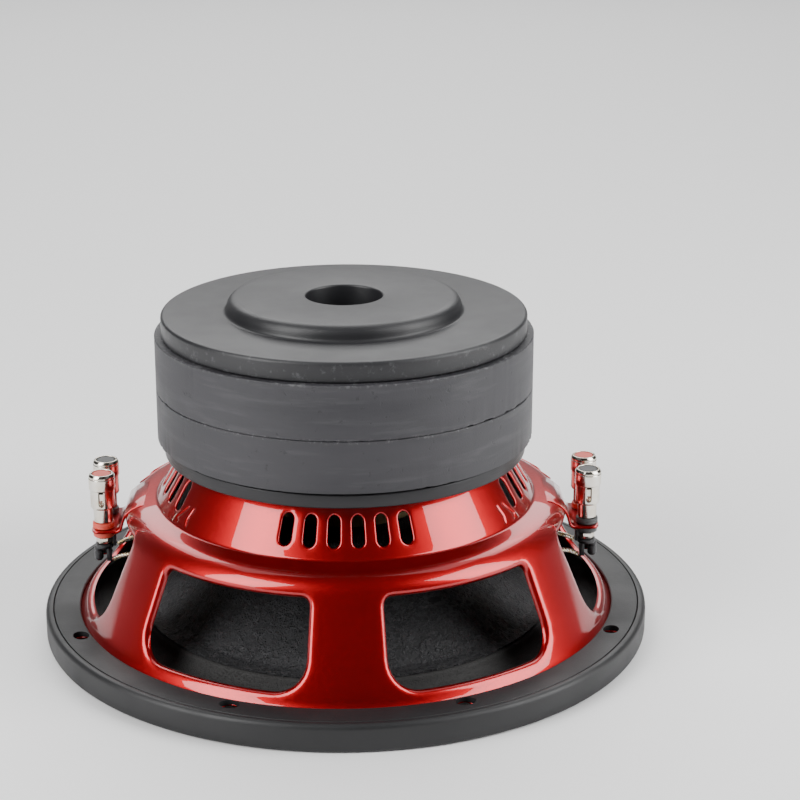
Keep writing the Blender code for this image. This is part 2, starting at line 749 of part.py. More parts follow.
def make_terminals():
    """Four push terminals on the tabs. Each sleeve slides down its post against a spring."""
    bore = STUD_RADIUS + GAP
    upper = [
        (bore, POST_BOTTOM - GAP),
        (INSULATOR_RADIUS, POST_BOTTOM - GAP),
        (INSULATOR_RADIUS, TAB_TOP + GAP),
        (INSULATOR_NECK, TAB_TOP + GAP),
        (INSULATOR_NECK, TAB_TOP - STEEL + 0.2),
        (bore, TAB_TOP - STEEL + 0.2),
    ]
    under_tab = TAB_TOP - STEEL - GAP
    nut_top = under_tab - LOWER_INSULATOR_HEIGHT - GAP
    lower = tube_outline(bore, LOWER_INSULATOR_RADIUS, nut_top + GAP, under_tab)
    nut = tube_outline(NUT_BORE, NUT_RADIUS, LUG_TOP + GAP, nut_top)
    disc = [(0, SLEEVE_TOP - 0.1), (4.0, SLEEVE_TOP - 0.1)]
    disc += [(4.0, SLEEVE_TOP - 0.6), (0, SLEEVE_TOP - 0.6)]
    shared = {
        "post": (post_mesh(), "nickel"),
        "spring": (spring_mesh(), "steel"),
        "nut": (frozen(turned_solid("nut_pattern", nut, "nickel", 6)), "nickel"),
    }
    sleeve = sleeve_mesh()
    for name, (x, y) in terminal_places().items():
        colour = "red_plastic" if name in ("left_front", "right_rear") else "black_plastic"
        side = -1 if x < 0 else 1
        place = Vector((x, y, 0)) * MM
        for kind, (mesh, finish) in shared.items():
            add_object(f"{name}_{kind}", mesh, finish).location = place
        for kind, outline in (("upper_insulator", upper), ("lower_insulator", lower)):
            mesh = insulator_mesh(f"{name}_{kind}_pattern", outline, colour)
            add_object(f"{name}_{kind}", mesh, colour).location = place
        add_object(f"{name}_lug", lug_mesh(side), "lug_metal").location = place
        slide = bpy.data.objects.new(f"{name}_slide", None)
        PARTS.objects.link(slide)
        slide.location = place
        add_object(f"{name}_sleeve", sleeve, "nickel").parent = slide
        pattern = turned_solid(f"{name}_disc_pattern", disc, colour, SMALL_STEPS, closed=False)
        add_object(f"{name}_marker", frozen(pattern), colour).parent = slide


def smooth_route(points, steps):
    """Points on a Catmull-Rom curve through a route."""
    route = [Vector(point) for point in points]
    route = [2 * route[0] - route[1], *route, 2 * route[-1] - route[-2]]
    found = []
    for i in range(1, len(route) - 2):
        for k in range(steps):
            t = k / steps
            a, b, c, d = route[i - 1 : i + 3]
            curve = 2 * b + (c - a) * t + (2 * a - 5 * b + 4 * c - d) * t * t
            found.append((curve + (3 * b - a - 3 * c + d) * t**3) / 2)
    return [*found, route[-2]]


def make_leads():
    """Braided tinsel leads from the lugs, in through the side windows to the back of the cone."""
    for name, (x, y) in terminal_places().items():
        flip = Matrix.Diagonal((math.copysign(1, x), math.copysign(1, y), 1))
        points = [flip @ point for point in smooth_route(LEAD_ROUTE, 1)]
        curve = bpy.data.curves.new(f"{name}_lead_route", "CURVE")
        curve.dimensions = "3D"
        curve.bevel_depth = LEAD_RADIUS * MM
        curve.bevel_resolution = 1
        curve.use_fill_caps = True
        spline = curve.splines.new("POLY")
        spline.points.add(len(points) - 1)
        for spot, point in zip(spline.points, points, strict=True):
            spot.co = (*(point * MM), 1)
        add_object(f"{name}_lead", curve_mesh(f"{name}_lead_route", curve), "braid")


def main():
    """Builds the driver."""
    holes = hole_cutter()
    make_basket(holes)
    make_rings(holes)
    make_motor()
    make_screws()
    turned_shell("spider", spider_line(), 0.5, "spider_cloth", INNER_STEPS, offset=0)
    axis = bpy.data.objects.new("cone_axis", None)
    PARTS.objects.link(axis)
    make_moving_assembly(axis)
    make_terminals()
    make_leads()
    bpy.context.view_layer.update()


main()
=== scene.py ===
"""Visual scene of a 10 inch car subwoofer driver, standing face down on its trim ring.

Lengths in the helpers are in millimetres and are turned into metres where a mesh is made.
Azimuths are in degrees: 0 is -Y, towards the camera, and 90 is +X.
"""

import math

import bmesh
import bpy
from mathutils import Matrix, Vector
from mathutils.geometry import delaunay_2d_cdt


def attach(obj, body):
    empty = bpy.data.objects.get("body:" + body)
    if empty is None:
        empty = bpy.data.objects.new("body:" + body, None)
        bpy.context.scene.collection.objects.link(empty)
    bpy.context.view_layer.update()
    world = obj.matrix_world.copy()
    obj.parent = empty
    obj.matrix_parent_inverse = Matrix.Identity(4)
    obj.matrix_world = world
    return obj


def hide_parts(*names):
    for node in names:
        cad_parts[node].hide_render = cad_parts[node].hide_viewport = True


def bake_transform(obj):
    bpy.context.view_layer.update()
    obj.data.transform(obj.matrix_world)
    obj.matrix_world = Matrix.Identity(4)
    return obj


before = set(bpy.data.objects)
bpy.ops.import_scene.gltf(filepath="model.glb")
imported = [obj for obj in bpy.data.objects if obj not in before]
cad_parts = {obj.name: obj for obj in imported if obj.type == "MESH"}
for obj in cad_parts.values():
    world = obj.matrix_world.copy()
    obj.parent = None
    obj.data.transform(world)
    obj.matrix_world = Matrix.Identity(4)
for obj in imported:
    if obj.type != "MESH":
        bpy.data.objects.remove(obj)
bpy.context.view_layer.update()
MM = 0.001
STEPS = 240  # sides of a large turned piece
FINE = 48  # sides of a small one
HOLE_CIRCLE = 124.0
HOLE_HALF_LENGTH, HOLE_HALF_WIDTH = 4.25, 3.4
SCREW_CIRCLE = 66.0
TERMINAL_X, TERMINAL_Y = 107.4, 9.0
MAGNET_RADIUS, MAGNET_HEIGHT = 82.5, 23.45
MAGNET_BOTTOMS = (87.8, 111.45)


# ---------------------------------------------------------------- camera, floor and light


def make_camera():
    """Camera in front of the driver, a little above the back plate."""
    data = bpy.data.cameras.new("camera")
    data.sensor_width = 36.0
    data.lens = 91.55
    data.clip_end = 50.0
    camera = bpy.data.objects.new("camera", data)
    bpy.context.scene.collection.objects.link(camera)
    camera.location = (0.0, -0.8525, 0.3820)
    camera.rotation_euler = (math.radians(90 - 18.18), 0.0, math.radians(-1.63))
    bpy.context.scene.camera = camera


def direction(azimuth, elevation):
    """Unit vector from the object towards an azimuth and an elevation."""
    a, e = math.radians(azimuth), math.radians(elevation)
    return Vector((math.sin(a) * math.cos(e), -math.cos(a) * math.cos(e), math.sin(e)))


def softbox(name, azimuth, elevation, distance, size, power, target=(0, 0, 0.07)):
    """A rectangular light that faces a target, the object's middle if none is given."""
    data = bpy.data.lights.new(name, "AREA")
    data.shape = "RECTANGLE"
    data.size, data.size_y = size
    data.energy = power
    lamp = bpy.data.objects.new(name, data)
    bpy.context.scene.collection.objects.link(lamp)
    target = Vector(target)
    lamp.location = target + direction(azimuth, elevation) * distance
    lamp.rotation_euler = (target - lamp.location).to_track_quat("-Z", "Y").to_euler()


def make_world():
    """Soft white surroundings: a bright field behind, and dim sides and front."""
    world = bpy.data.worlds.new("studio")
    bpy.context.scene.world = world
    world.use_nodes = True
    tree = world.node_tree
    back = tree.nodes["Background"]
    coords = tree.nodes.new("ShaderNodeTexCoord")
    split = tree.nodes.new("ShaderNodeSeparateXYZ")
    tree.links.new(coords.outputs["Generated"], split.inputs[0])
    ramp = tree.nodes.new("ShaderNodeMapRange")
    ramp.interpolation_type = "SMOOTHSTEP"
    ramp.inputs["From Min"].default_value = 0.45
    ramp.inputs["From Max"].default_value = 0.95
    ramp.inputs["To Min"].default_value = 0.04
    ramp.inputs["To Max"].default_value = 0.24
    tree.links.new(split.outputs["Y"], ramp.inputs["Value"])
    tree.links.new(ramp.outputs["Result"], back.inputs["Strength"])
    back.inputs["Color"].default_value = (1.0, 1.0, 1.0, 1.0)


def make_floor():
    """A plain pale floor."""
    bm = bmesh.new()
    bmesh.ops.create_grid(bm, x_segments=8, y_segments=8, size=6.0)
    mesh = bpy.data.meshes.new("floor")
    bm.to_mesh(mesh)
    bm.free()
    floor = bpy.data.objects.new("floor", mesh)
    bpy.context.scene.collection.objects.link(floor)
    floor.location.z = -0.0002
    look = Look("floor_paper", (0.93, 0.93, 0.93), 0.7)
    mesh.materials.append(look.material)


# ---------------------------------------------------------------- materials


class Look:
    """A Principled material whose colour, roughness and relief come from nodes."""

    def __init__(self, name, colour, roughness, metallic=0.0, **direct):
        self.material = bpy.data.materials.new(name)
        self.material.use_nodes = True
        self.tree = self.material.node_tree
        self.shader = self.tree.nodes["Principled BSDF"]
        self.shader.inputs["Base Color"].default_value = (*colour, 1.0)
        self.shader.inputs["Roughness"].default_value = roughness
        self.shader.inputs["Metallic"].default_value = metallic
        for socket, value in direct.items():
            self.shader.inputs[socket.replace("_", " ")].default_value = value
        self.place = self.tree.nodes.new("ShaderNodeTexCoord").outputs["Object"]
        self.normal = None

    def node(self, kind, inputs, **settings):
        """A node with its settings and inputs. An input is a socket or a plain value."""
        made = self.tree.nodes.new(kind)
        for name, value in settings.items():
            setattr(made, name, value)
        for name, value in inputs.items():
            if isinstance(value, bpy.types.NodeSocket):
                self.tree.links.new(value, made.inputs[name])
            else:
                made.inputs[name].default_value = value
        return made

    def stretched(self, factors):
        """Object coordinates, multiplied along each axis."""
        return self.node(
            "ShaderNodeVectorMath", {0: self.place, 1: factors}, operation="MULTIPLY"
        ).outputs[0]

    def noise(self, scale, detail=3.0, rough=0.55, factors=None, place=None):
        """Fractal noise from 0 to 1 with features about 1 / scale metres wide."""
        vector = place or (self.stretched(factors) if factors else self.place)
        inputs = {"Vector": vector, "Scale": scale, "Detail": detail, "Roughness": rough}
        return self.node("ShaderNodeTexNoise", inputs).outputs[0]

    def cells(self, scale, place=None, feature="F1", output="Distance"):
        """Distance to the nearest cell's centre or edge."""
        inputs = {"Vector": place or self.place, "Scale": scale}
        return self.node("ShaderNodeTexVoronoi", inputs, feature=feature).outputs[output]

    def span(self, value, low, high, to_low=0.0, to_high=1.0):
        """Maps a range smoothly onto another."""
        inputs = {"Value": value, "From Min": low, "From Max": high}
        inputs.update({"To Min": to_low, "To Max": to_high})
        made = self.node("ShaderNodeMapRange", inputs, interpolation_type="SMOOTHSTEP")
        return made.outputs["Result"]

    def calc(self, operation, a, b=0.0):
        """One Math node."""
        return self.node("ShaderNodeMath", {0: a, 1: b}, operation=operation).outputs[0]

    def mix(self, share, a, b):
        """A colour between two colours."""
        made = self.tree.nodes.new("ShaderNodeMix")
        made.data_type = "RGBA"
        for index, value in ((0, share), (6, a), (7, b)):
            if isinstance(value, bpy.types.NodeSocket):
                self.tree.links.new(value, made.inputs[index])
            else:
                made.inputs[index].default_value = value if index == 0 else (*value, 1.0)
        return made.outputs[2]

    def polar(self):
        """Radius and azimuth in radians about the driver's axis, and the height."""
        split = self.node("ShaderNodeSeparateXYZ", {0: self.place})
        x, y, z = split.outputs
        radius = self.calc("SQRT", self.calc("ADD", self.calc("POWER", x, 2.0), self.calc("POWER", y, 2.0)))
        return radius, self.calc("ARCTAN2", x, y), z

    def colour(self, value):
        """Links the base colour."""
        self.tree.links.new(value, self.shader.inputs["Base Color"])

    def rough(self, value):
        """Links the roughness."""
        self.tree.links.new(value, self.shader.inputs["Roughness"])

    def bump(self, height, distance, strength=1.0):
        """Adds relief, in metres, on top of any before it."""
        inputs = {"Height": height, "Distance": distance, "Strength": strength}
        if self.normal:
            inputs["Normal"] = self.normal
        self.normal = self.node("ShaderNodeBump", inputs).outputs[0]
        self.tree.links.new(self.normal, self.shader.inputs["Normal"])


def candy_paint():
    """Candy red metallic under a clear coat, with a faint orange peel."""
    look = Look("candy_red_paint", (0.55, 0.008, 0.012), 0.36, 0.9, Coat_Weight=1.0, Coat_Roughness=0.02)
    look.colour(look.mix(look.noise(45, 3), (0.36, 0.003, 0.006), (0.44, 0.005, 0.009)))
    look.rough(look.span(look.noise(900, 2), 0.3, 0.7, 0.33, 0.39))
    look.bump(look.noise(260, 2, 0.4), 0.00001)
    return look


def moulded(name, colour, lift, roughness, grain=2600, depth=0.00004, **direct):
    """Matte moulded plastic or rubber with grain, faint clouding and scuffs."""
    look = Look(name, colour, roughness, 0.0, **direct)
    cloud = look.noise(38, 4)
    scuff = look.span(look.noise(420, 5, 0.7, (1, 1, 5)), 0.60, 0.78)
    tone = look.mix(cloud, colour, tuple(c + lift for c in colour))
    rubbed = tuple(c * 1.7 + 0.008 for c in colour)
    look.colour(look.mix(look.calc("MULTIPLY", scuff, 0.35), tone, rubbed))
    dull = look.span(cloud, 0.3, 0.7, roughness - 0.05, roughness + 0.06)
    look.rough(look.calc("SUBTRACT", dull, look.calc("MULTIPLY", scuff, 0.08)))
    look.bump(look.noise(grain, 3, 0.6), depth)
    return look


def ferrite(name, bottom, top):
    """Pressed ferrite: dark grey with long smears, dark spots, a paler ground edge and small chips."""
    look = Look(name, (0.042, 0.042, 0.046), 0.50)
    smear = look.noise(24, 5, 0.62, (0.35, 0.35, 2.0))
    streak = look.noise(90, 4, 0.6, (0.3, 0.3, 2.4))
    tone = look.mix(look.span(smear, 0.34, 0.68), (0.021, 0.021, 0.025), (0.036, 0.035, 0.040))
    tone = look.mix(look.span(streak, 0.50, 0.74, 0.0, 0.45), tone, (0.066, 0.065, 0.070))
    height = look.polar()[2]
    low_edge = look.span(height, bottom, bottom + 0.0014, 1, 0)
    near_edge = look.calc("ADD", low_edge, look.span(height, top - 0.0014, top, 0, 1))
    chips = look.span(look.noise(380, 4, 0.7), 0.52, 0.66, 0.0, 0.7)
    tone = look.mix(look.calc("MULTIPLY", near_edge, chips), tone, (0.14, 0.14, 0.145))
    spots = look.span(look.noise(300, 3, 0.6), 0.64, 0.72)
    tone = look.mix(look.calc("MULTIPLY", spots, 0.5), tone, (0.016, 0.016, 0.019))
    look.colour(tone)
    look.rough(look.span(smear, 0.3, 0.7, 0.44, 0.60))
    look.bump(look.calc("SUBTRACT", look.noise(1500, 3), look.calc("MULTIPLY", spots, 1.2)), 0.00006)
    return look


def black_satin():
    """Powder coated steel: fine regular grain and faint rubbing at the rims."""
    look = Look("black_powder_coat", (0.014, 0.014, 0.016), 0.42, Specular_IOR_Level=0.5)
    cloud = look.noise(30, 4)
    rim = look.span(look.polar()[0], 0.0772, 0.0796)
    wear = look.calc("MULTIPLY", rim, look.span(look.noise(300, 5, 0.7), 0.54, 0.70, 0.0, 0.6))
    tone = look.mix(cloud, (0.011, 0.011, 0.013), (0.018, 0.018, 0.020))
    look.colour(look.mix(wear, tone, (0.075, 0.075, 0.08)))
    look.rough(look.span(cloud, 0.3, 0.7, 0.40, 0.50))
    look.bump(look.noise(2400, 2, 0.5), 0.00005)
    return look


def plated(name, colour, roughness, metallic=1.0, tint=(1.0, 0.93, 0.82), **direct):
    """Plated metal with soft tarnish, turned lines and fine scratches."""
    look = Look(name, colour, roughness, metallic, **direct)
    cloud = look.noise(160, 4)
    tarnish = tuple(c * t * 0.88 for c, t in zip(colour, tint))
    look.colour(look.mix(look.span(cloud, 0.35, 0.75), colour, tarnish))
    turned = look.noise(900, 3, 0.6, (0.15, 0.15, 6))
    look.rough(look.span(turned, 0.3, 0.7, roughness * 0.7, roughness * 1.35))
    look.bump(turned, 0.000012)
    return look


def zinc():
    """Dull dark passivated steel."""
    look = Look("passivated_plate", (0.036, 0.038, 0.040), 0.42, 0.35)
    look.colour(look.mix(look.noise(40, 5, 0.6), (0.014, 0.014, 0.016), (0.024, 0.024, 0.026)))
    lines = look.noise(700, 3, 0.6, (0.2, 0.2, 8))
    look.rough(look.span(lines, 0.3, 0.7, 0.34, 0.5))
    look.bump(lines, 0.00002)
    return look


def foam():
    """Pressed foam with open grain."""
    look = Look("pressed_foam", (0.016, 0.015, 0.016), 0.78)
    grain = look.noise(1900, 3, 0.7)
    pores = look.span(look.cells(1400), 0.1, 0.45)
    tone = look.mix(grain, (0.007, 0.007, 0.007), (0.034, 0.032, 0.031))
    look.colour(look.mix(look.span(look.noise(26, 3), 0.35, 0.7, 0.0, 0.4), tone, (0.026, 0.025, 0.024)))
    look.rough(look.span(grain, 0.3, 0.7, 0.6, 0.82))
    look.bump(look.calc("ADD", look.calc("MULTIPLY", grain, 0.8), pores), 0.00016)
    return look


def pulp():
    """Black paper pulp with thin ridged wrinkles and pale flecks."""
    look = Look("paper_pulp", (0.016, 0.016, 0.018), 0.62)
    folds = look.calc("ABSOLUTE", look.calc("SUBTRACT", look.noise(70, 5, 0.66), 0.5))
    ridge = look.span(folds, 0.0, 0.055, 1.0, 0.0)
    fine = look.calc("ABSOLUTE", look.calc("SUBTRACT", look.noise(190, 5, 0.7), 0.5))
    crease = look.span(fine, 0.0, 0.06, 1.0, 0.0)
    tone = look.mix(look.noise(140, 5, 0.65), (0.009, 0.009, 0.010), (0.026, 0.026, 0.028))
    raised = look.calc("MULTIPLY", look.calc("MAXIMUM", ridge, crease), 0.55)
    tone = look.mix(raised, tone, (0.052, 0.052, 0.056))
    look.colour(look.mix(look.span(look.noise(900, 3), 0.62, 0.74, 0, 0.6), tone, (0.085, 0.084, 0.088)))
    look.rough(look.span(fine, 0.0, 0.2, 0.46, 0.70))
    look.bump(ridge, 0.0006)
    look.bump(crease, 0.0003)
    return look


def weave(name, pitch, dark, light, depth, roughness, metallic=0.0):
    """Plain weave: warp and weft cross over and under each other."""
    look = Look(name, dark, roughness, metallic)
    split = look.node("ShaderNodeSeparateXYZ", {0: look.place})
    turns = math.tau / pitch
    u = look.calc("MULTIPLY", split.outputs[0], turns)
    v = look.calc("MULTIPLY", split.outputs[1], turns)
    warp = look.calc("SINE", look.calc("MULTIPLY", u, 0.5))
    weft = look.calc("SINE", look.calc("MULTIPLY", v, 0.5))
    side = look.span(look.calc("MULTIPLY", warp, weft), -0.2, 0.2)
    warp_part = look.calc("MULTIPLY", side, look.calc("ABSOLUTE", warp))
    weft_part = look.calc("MULTIPLY", look.calc("SUBTRACT", 1.0, side), look.calc("ABSOLUTE", weft))
    height = look.calc("ADD", warp_part, weft_part)
    tone = look.mix(look.span(height, 0.25, 0.95), dark, light)
    fibre = look.noise(3800, 2)
    look.colour(look.mix(look.span(look.noise(24, 3), 0.3, 0.8, 0.0, 0.25), tone, dark))
    look.rough(look.span(fibre, 0.3, 0.7, roughness - 0.08, roughness + 0.08))
    look.bump(look.calc("ADD", height, look.calc("MULTIPLY", fibre, 0.15)), depth)
    return look


def dome_satin():
    """Smooth moulded dome with a satin lacquer."""
    look = Look("satin_dome", (0.022, 0.019, 0.029), 0.33, Coat_Weight=0.25, Coat_Roughness=0.3)
    cloud = look.noise(26, 3)
    look.colour(look.mix(cloud, (0.018, 0.016, 0.024), (0.030, 0.026, 0.038)))
    look.rough(look.span(look.noise(1400, 3), 0.3, 0.7, 0.29, 0.38))
    look.bump(look.noise(2200, 2), 0.00003)
    return look


def braided():
    """Tinned and brass coloured tinsel."""
    look = Look("tinsel_braid", (0.7, 0.66, 0.58), 0.28, 1.0)
    tone = look.mix(look.span(look.noise(900, 2), 0.4, 0.6), (0.78, 0.76, 0.72), (0.66, 0.50, 0.24))
    look.colour(tone)
    look.rough(look.span(look.noise(2500, 2), 0.3, 0.7, 0.2, 0.4))
    look.bump(look.noise(4000, 2), 0.00003)
    return look


def fibrous(name, dark, light, scale=420, depth=0.0002, roughness=0.8):
    """Cloth, paper or enamel with a fibrous surface."""
    look = Look(name, dark, roughness)
    fibre = look.noise(scale, 5, 0.65, (1, 1, 2))
    look.colour(look.mix(fibre, dark, light))
    look.rough(look.span(fibre, 0.3, 0.7, roughness - 0.1, roughness + 0.08))
    look.bump(fibre, depth)
    return look


LOOKS = {}


def make_looks():
    """Every material once."""
    LOOKS.update(
        paint=candy_paint(),
        trim=moulded("matte_black_trim", (0.008, 0.008, 0.009), 0.003, 0.50, 1800, 0.00003),
        gasket=moulded("black_gasket", (0.007, 0.007, 0.008), 0.003, 0.55, 1300, 0.00006),
        foam=foam(),
        spider=weave(
            "treated_black_cloth", 0.0011, (0.018, 0.017, 0.018), (0.050, 0.047, 0.048), 0.0003, 0.75
        ),
        magnet_lower=ferrite("ferrite_lower", 0.0878, 0.1112),
        magnet_upper=ferrite("ferrite_upper", 0.1115, 0.1349),
        zinc=zinc(),
        satin=black_satin(),
        pulp=pulp(),
        skin=weave(
            "woven_glass_skin", 0.00105, (0.012, 0.012, 0.013), (0.30, 0.30, 0.32), 0.0003, 0.42, 0.25
        ),
        band=weave("sewn_band_cloth", 0.0008, (0.020, 0.020, 0.021), (0.050, 0.050, 0.053), 0.00015, 0.75),
        thread=fibrous("black_thread", (0.020, 0.020, 0.022), (0.075, 0.075, 0.08), 2600, 0.00006, 0.6),
        dome=dome_satin(),
        former=fibrous("former_glass_fibre", (0.45, 0.33, 0.16), (0.62, 0.50, 0.28), 900, 0.00004, 0.45),
        copper=plated("enamelled_copper", (0.62, 0.24, 0.11), 0.3, 0.9, (1, 0.9, 0.8)),
        nickel=plated("bright_nickel", (0.80, 0.77, 0.71), 0.16),
        steel=plated("screw_steel", (0.52, 0.52, 0.51), 0.32),
        lug=moulded("black_lug", (0.022, 0.022, 0.024), 0.015, 0.32, 900, 0.00005, Metallic=0.3),
        red_plastic=moulded("orange_red_plastic", (0.70, 0.060, 0.028), 0.04, 0.40, 1500, 0.00003),
        black_plastic=moulded("grey_black_plastic", (0.045, 0.046, 0.046), 0.02, 0.45, 1500, 0.00003),
        braid=braided(),
    )


# ---------------------------------------------------------------- mesh tools


def rounded(corners, segments=5):
    """A line through corners (r, z) or (r, z, fillet), with each fillet as an arc."""
    line = []
    last = len(corners) - 1
    for i, corner in enumerate(corners):
        here = Vector(corner[:2])
        radius = corner[2] if len(corner) > 2 else 0.0
        if not radius or i in (0, last):
            line.append((here.x, here.y))
            continue
        before = (Vector(corners[i - 1][:2]) - here).normalized()
        after = (Vector(corners[i + 1][:2]) - here).normalized()
        half = before.angle(after) / 2
        if half > math.radians(89.5):
            line.append((here.x, here.y))
            continue
        start = here + before * radius / math.tan(half)
        centre = here + (before + after).normalized() * radius / math.sin(half)
        first = start - centre
        sweep = math.pi - 2 * half
        turn = 1 if before.x * after.y - before.y * after.x < 0 else -1
        for k in range(segments + 1):
            angle = turn * sweep * k / segments
            c, s = math.cos(angle), math.sin(angle)
            line.append((centre.x + first.x * c - first.y * s, centre.y + first.x * s + first.y * c))
    return line


def loop_of(corners, segments=4):
    """A closed outline with its corners rounded, starting between two of them."""
    a, b = Vector(corners[-1][:2]), Vector(corners[0][:2])
    middle = (a + b) / 2
    line = rounded([tuple(middle), *corners, tuple(middle)], segments)
    return line[:-1]


def new_mesh(name, verts, faces):
    """A mesh from points in millimetres, with its faces made consistent."""
    mesh = bpy.data.meshes.new(name)
    mesh.from_pydata([(x * MM, y * MM, z * MM) for x, y, z in verts], [], faces)
    bm = bmesh.new()
    bm.from_mesh(mesh)
    bmesh.ops.remove_doubles(bm, verts=bm.verts, dist=2e-7)
    bmesh.ops.recalc_face_normals(bm, faces=bm.faces)
    bm.to_mesh(mesh)
    bm.free()
    return mesh


def lathe(name, line, steps=STEPS, closed=True, centre=(0, 0), wobble=None):
    """Turns a line of (r, z) about a vertical axis. wobble(angle, i) moves a point (dr, dz)."""
    verts, faces = [], []
    count = len(line)
    for k in range(steps):
        angle = math.tau * k / steps
        for i, (r, z) in enumerate(line):
            dr, dz = wobble(angle, i) if wobble else (0.0, 0.0)
            out = r + dr
            verts.append((centre[0] + out * math.cos(angle), centre[1] + out * math.sin(angle), z + dz))
    spans = count if closed else count - 1
    for k in range(steps):
        for i in range(spans):
            j = (i + 1) % count
            here, there = k * count, (k + 1) % steps * count
            faces.append((here + i, there + i, there + j, here + j))
    mesh = new_mesh(name, verts, faces)
    bm = bmesh.new()
    bm.from_mesh(mesh)
    bmesh.ops.dissolve_degenerate(bm, edges=bm.edges, dist=1e-7)
    bm.to_mesh(mesh)
    bm.free()
    return mesh


def tube(points, radius, sides=8, taper=0.0):
    """Verts and faces of a tube with closed ends along points. taper narrows the ends."""
    verts, faces = [], []
    route = [Vector(p) for p in points]
    side = None
    last = len(route) - 1
    for i, here in enumerate(route):
        along = (route[min(i + 1, last)] - route[max(i - 1, 0)]).normalized()
        if side is None:
            side = along.orthogonal().normalized()
        side = (side - along * side.dot(along)).normalized()
        other = along.cross(side)
        size = radius * (1 - taper if i in (0, last) else 1)
        for k in range(sides):
            angle = math.tau * k / sides
            verts.append(tuple(here + (side * math.cos(angle) + other * math.sin(angle)) * size))
    for i in range(last):
        for k in range(sides):
            j = (k + 1) % sides
            faces.append((i * sides + k, i * sides + j, (i + 1) * sides + j, (i + 1) * sides + k))
    faces.append(tuple(range(sides))[::-1])
    faces.append(tuple(last * sides + k for k in range(sides)))
    return verts, faces


def joined(name, bits):
    """One mesh from several (verts, faces)."""
    verts, faces = [], []
    for more, polygons in bits:
        base = len(verts)
        verts += more
        faces += [tuple(base + i for i in polygon) for polygon in polygons]
    mesh = bpy.data.meshes.new(name)
    mesh.from_pydata([(x * MM, y * MM, z * MM) for x, y, z in verts], [], faces)
    return mesh


def box_mesh(place):
    """A unit cube, placed and sized by a matrix."""
    bm = bmesh.new()
    bmesh.ops.create_cube(bm, size=1, matrix=place)
    mesh = bpy.data.meshes.new("box")
    bm.to_mesh(mesh)
    bm.free()
    return mesh


def add(name, mesh, look, smooth=38):
    """An object with a material, shaded smooth up to an angle."""
    piece = bpy.data.objects.new(name, mesh)
    bpy.context.scene.collection.objects.link(piece)
    mesh.materials.clear()
    mesh.materials.append(LOOKS[look].material)
    mesh.shade_smooth()
    mesh.set_sharp_from_angle(angle=math.radians(smooth))
    return piece


def turned(name, line, look, sides=STEPS, centre=(0, 0), closed=True, smooth=38):
    """A turned piece with a material."""
    return add(name, lathe(name, line, sides, closed, centre), look, smooth)


def apply_modifiers(piece, smooth=38):
    """Bakes the modifiers into the mesh."""
    bpy.context.view_layer.update()
    graph = bpy.context.evaluated_depsgraph_get()
    mesh = bpy.data.meshes.new_from_object(piece.evaluated_get(graph))
    old = piece.data
    piece.modifiers.clear()
    piece.data = mesh
    bpy.data.meshes.remove(old)
    mesh.shade_smooth()
    mesh.set_sharp_from_angle(angle=math.radians(smooth))
    return piece


def cut(piece, cutter_mesh, smooth=38, operation="DIFFERENCE"):
    """Cuts a mesh out of a piece, or joins it on."""
    other = bpy.data.objects.new("cutter", cutter_mesh)
    bpy.context.scene.collection.objects.link(other)
    modifier = piece.modifiers.new("cut", "BOOLEAN")
    modifier.solver = "EXACT"
    modifier.operation = operation
    modifier.object = other
    apply_modifiers(piece, smooth)
    bpy.data.objects.remove(other)
    bpy.data.meshes.remove(cutter_mesh)
    return piece


def bevel(piece, width, segments=2, angle=40, smooth=38):
    """Rounds the sharp edges of a piece."""
    modifier = piece.modifiers.new("edge", "BEVEL")
    modifier.width = width * MM
    modifier.segments = segments
    modifier.limit_method = "ANGLE"
    modifier.angle_limit = math.radians(angle)
    modifier.harden_normals = False
    return apply_modifiers(piece, smooth)


def sheet(name, line, thickness, steps=STEPS):
    """A turned sheet with a thickness, from the line of its outer side."""
    closed = line + offset(line, thickness)[::-1]
    return lathe(name, closed, steps)


def offset(line, distance):
    """The line at a distance on the side that is right of its direction."""
    moved = []
    last = len(line) - 1
    for i, point in enumerate(line):
        here = Vector(point)
        after = Vector(line[min(i + 1, last)]) - here
        before = here - Vector(line[max(i - 1, 0)])
        along = (after.normalized() + before.normalized()).normalized()
        across = Vector((along.y, -along.x))
        straight = (after if i == 0 else before).normalized()
        lean = max(0.5, across.dot(Vector((straight.y, -straight.x))))
        moved.append(tuple(here + across * distance / lean))
    return moved


def stand_in(piece, body, slot, *nodes):
    """Puts a piece on its body and hides the CAD nodes that it replaces. The slot argument is not used."""
    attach(piece, body)
    if nodes:
        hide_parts(*nodes)
    return piece


# ---------------------------------------------------------------- basket


SPREAD = 100.0  # millimetres of the flat pattern for one radian of azimuth
STRETCH = 1.5  # pattern length for one unit of height near the top of the wall
BASKET_LINE = (
    (61.0, 81.3),
    (71.3, 81.3, 1.6),
    (83.9, 60.2, 2.4),
    (97.1, 57.7, 14.0),
    (118.9, 9.3, 7.0),
    (131.3, 9.3),
)


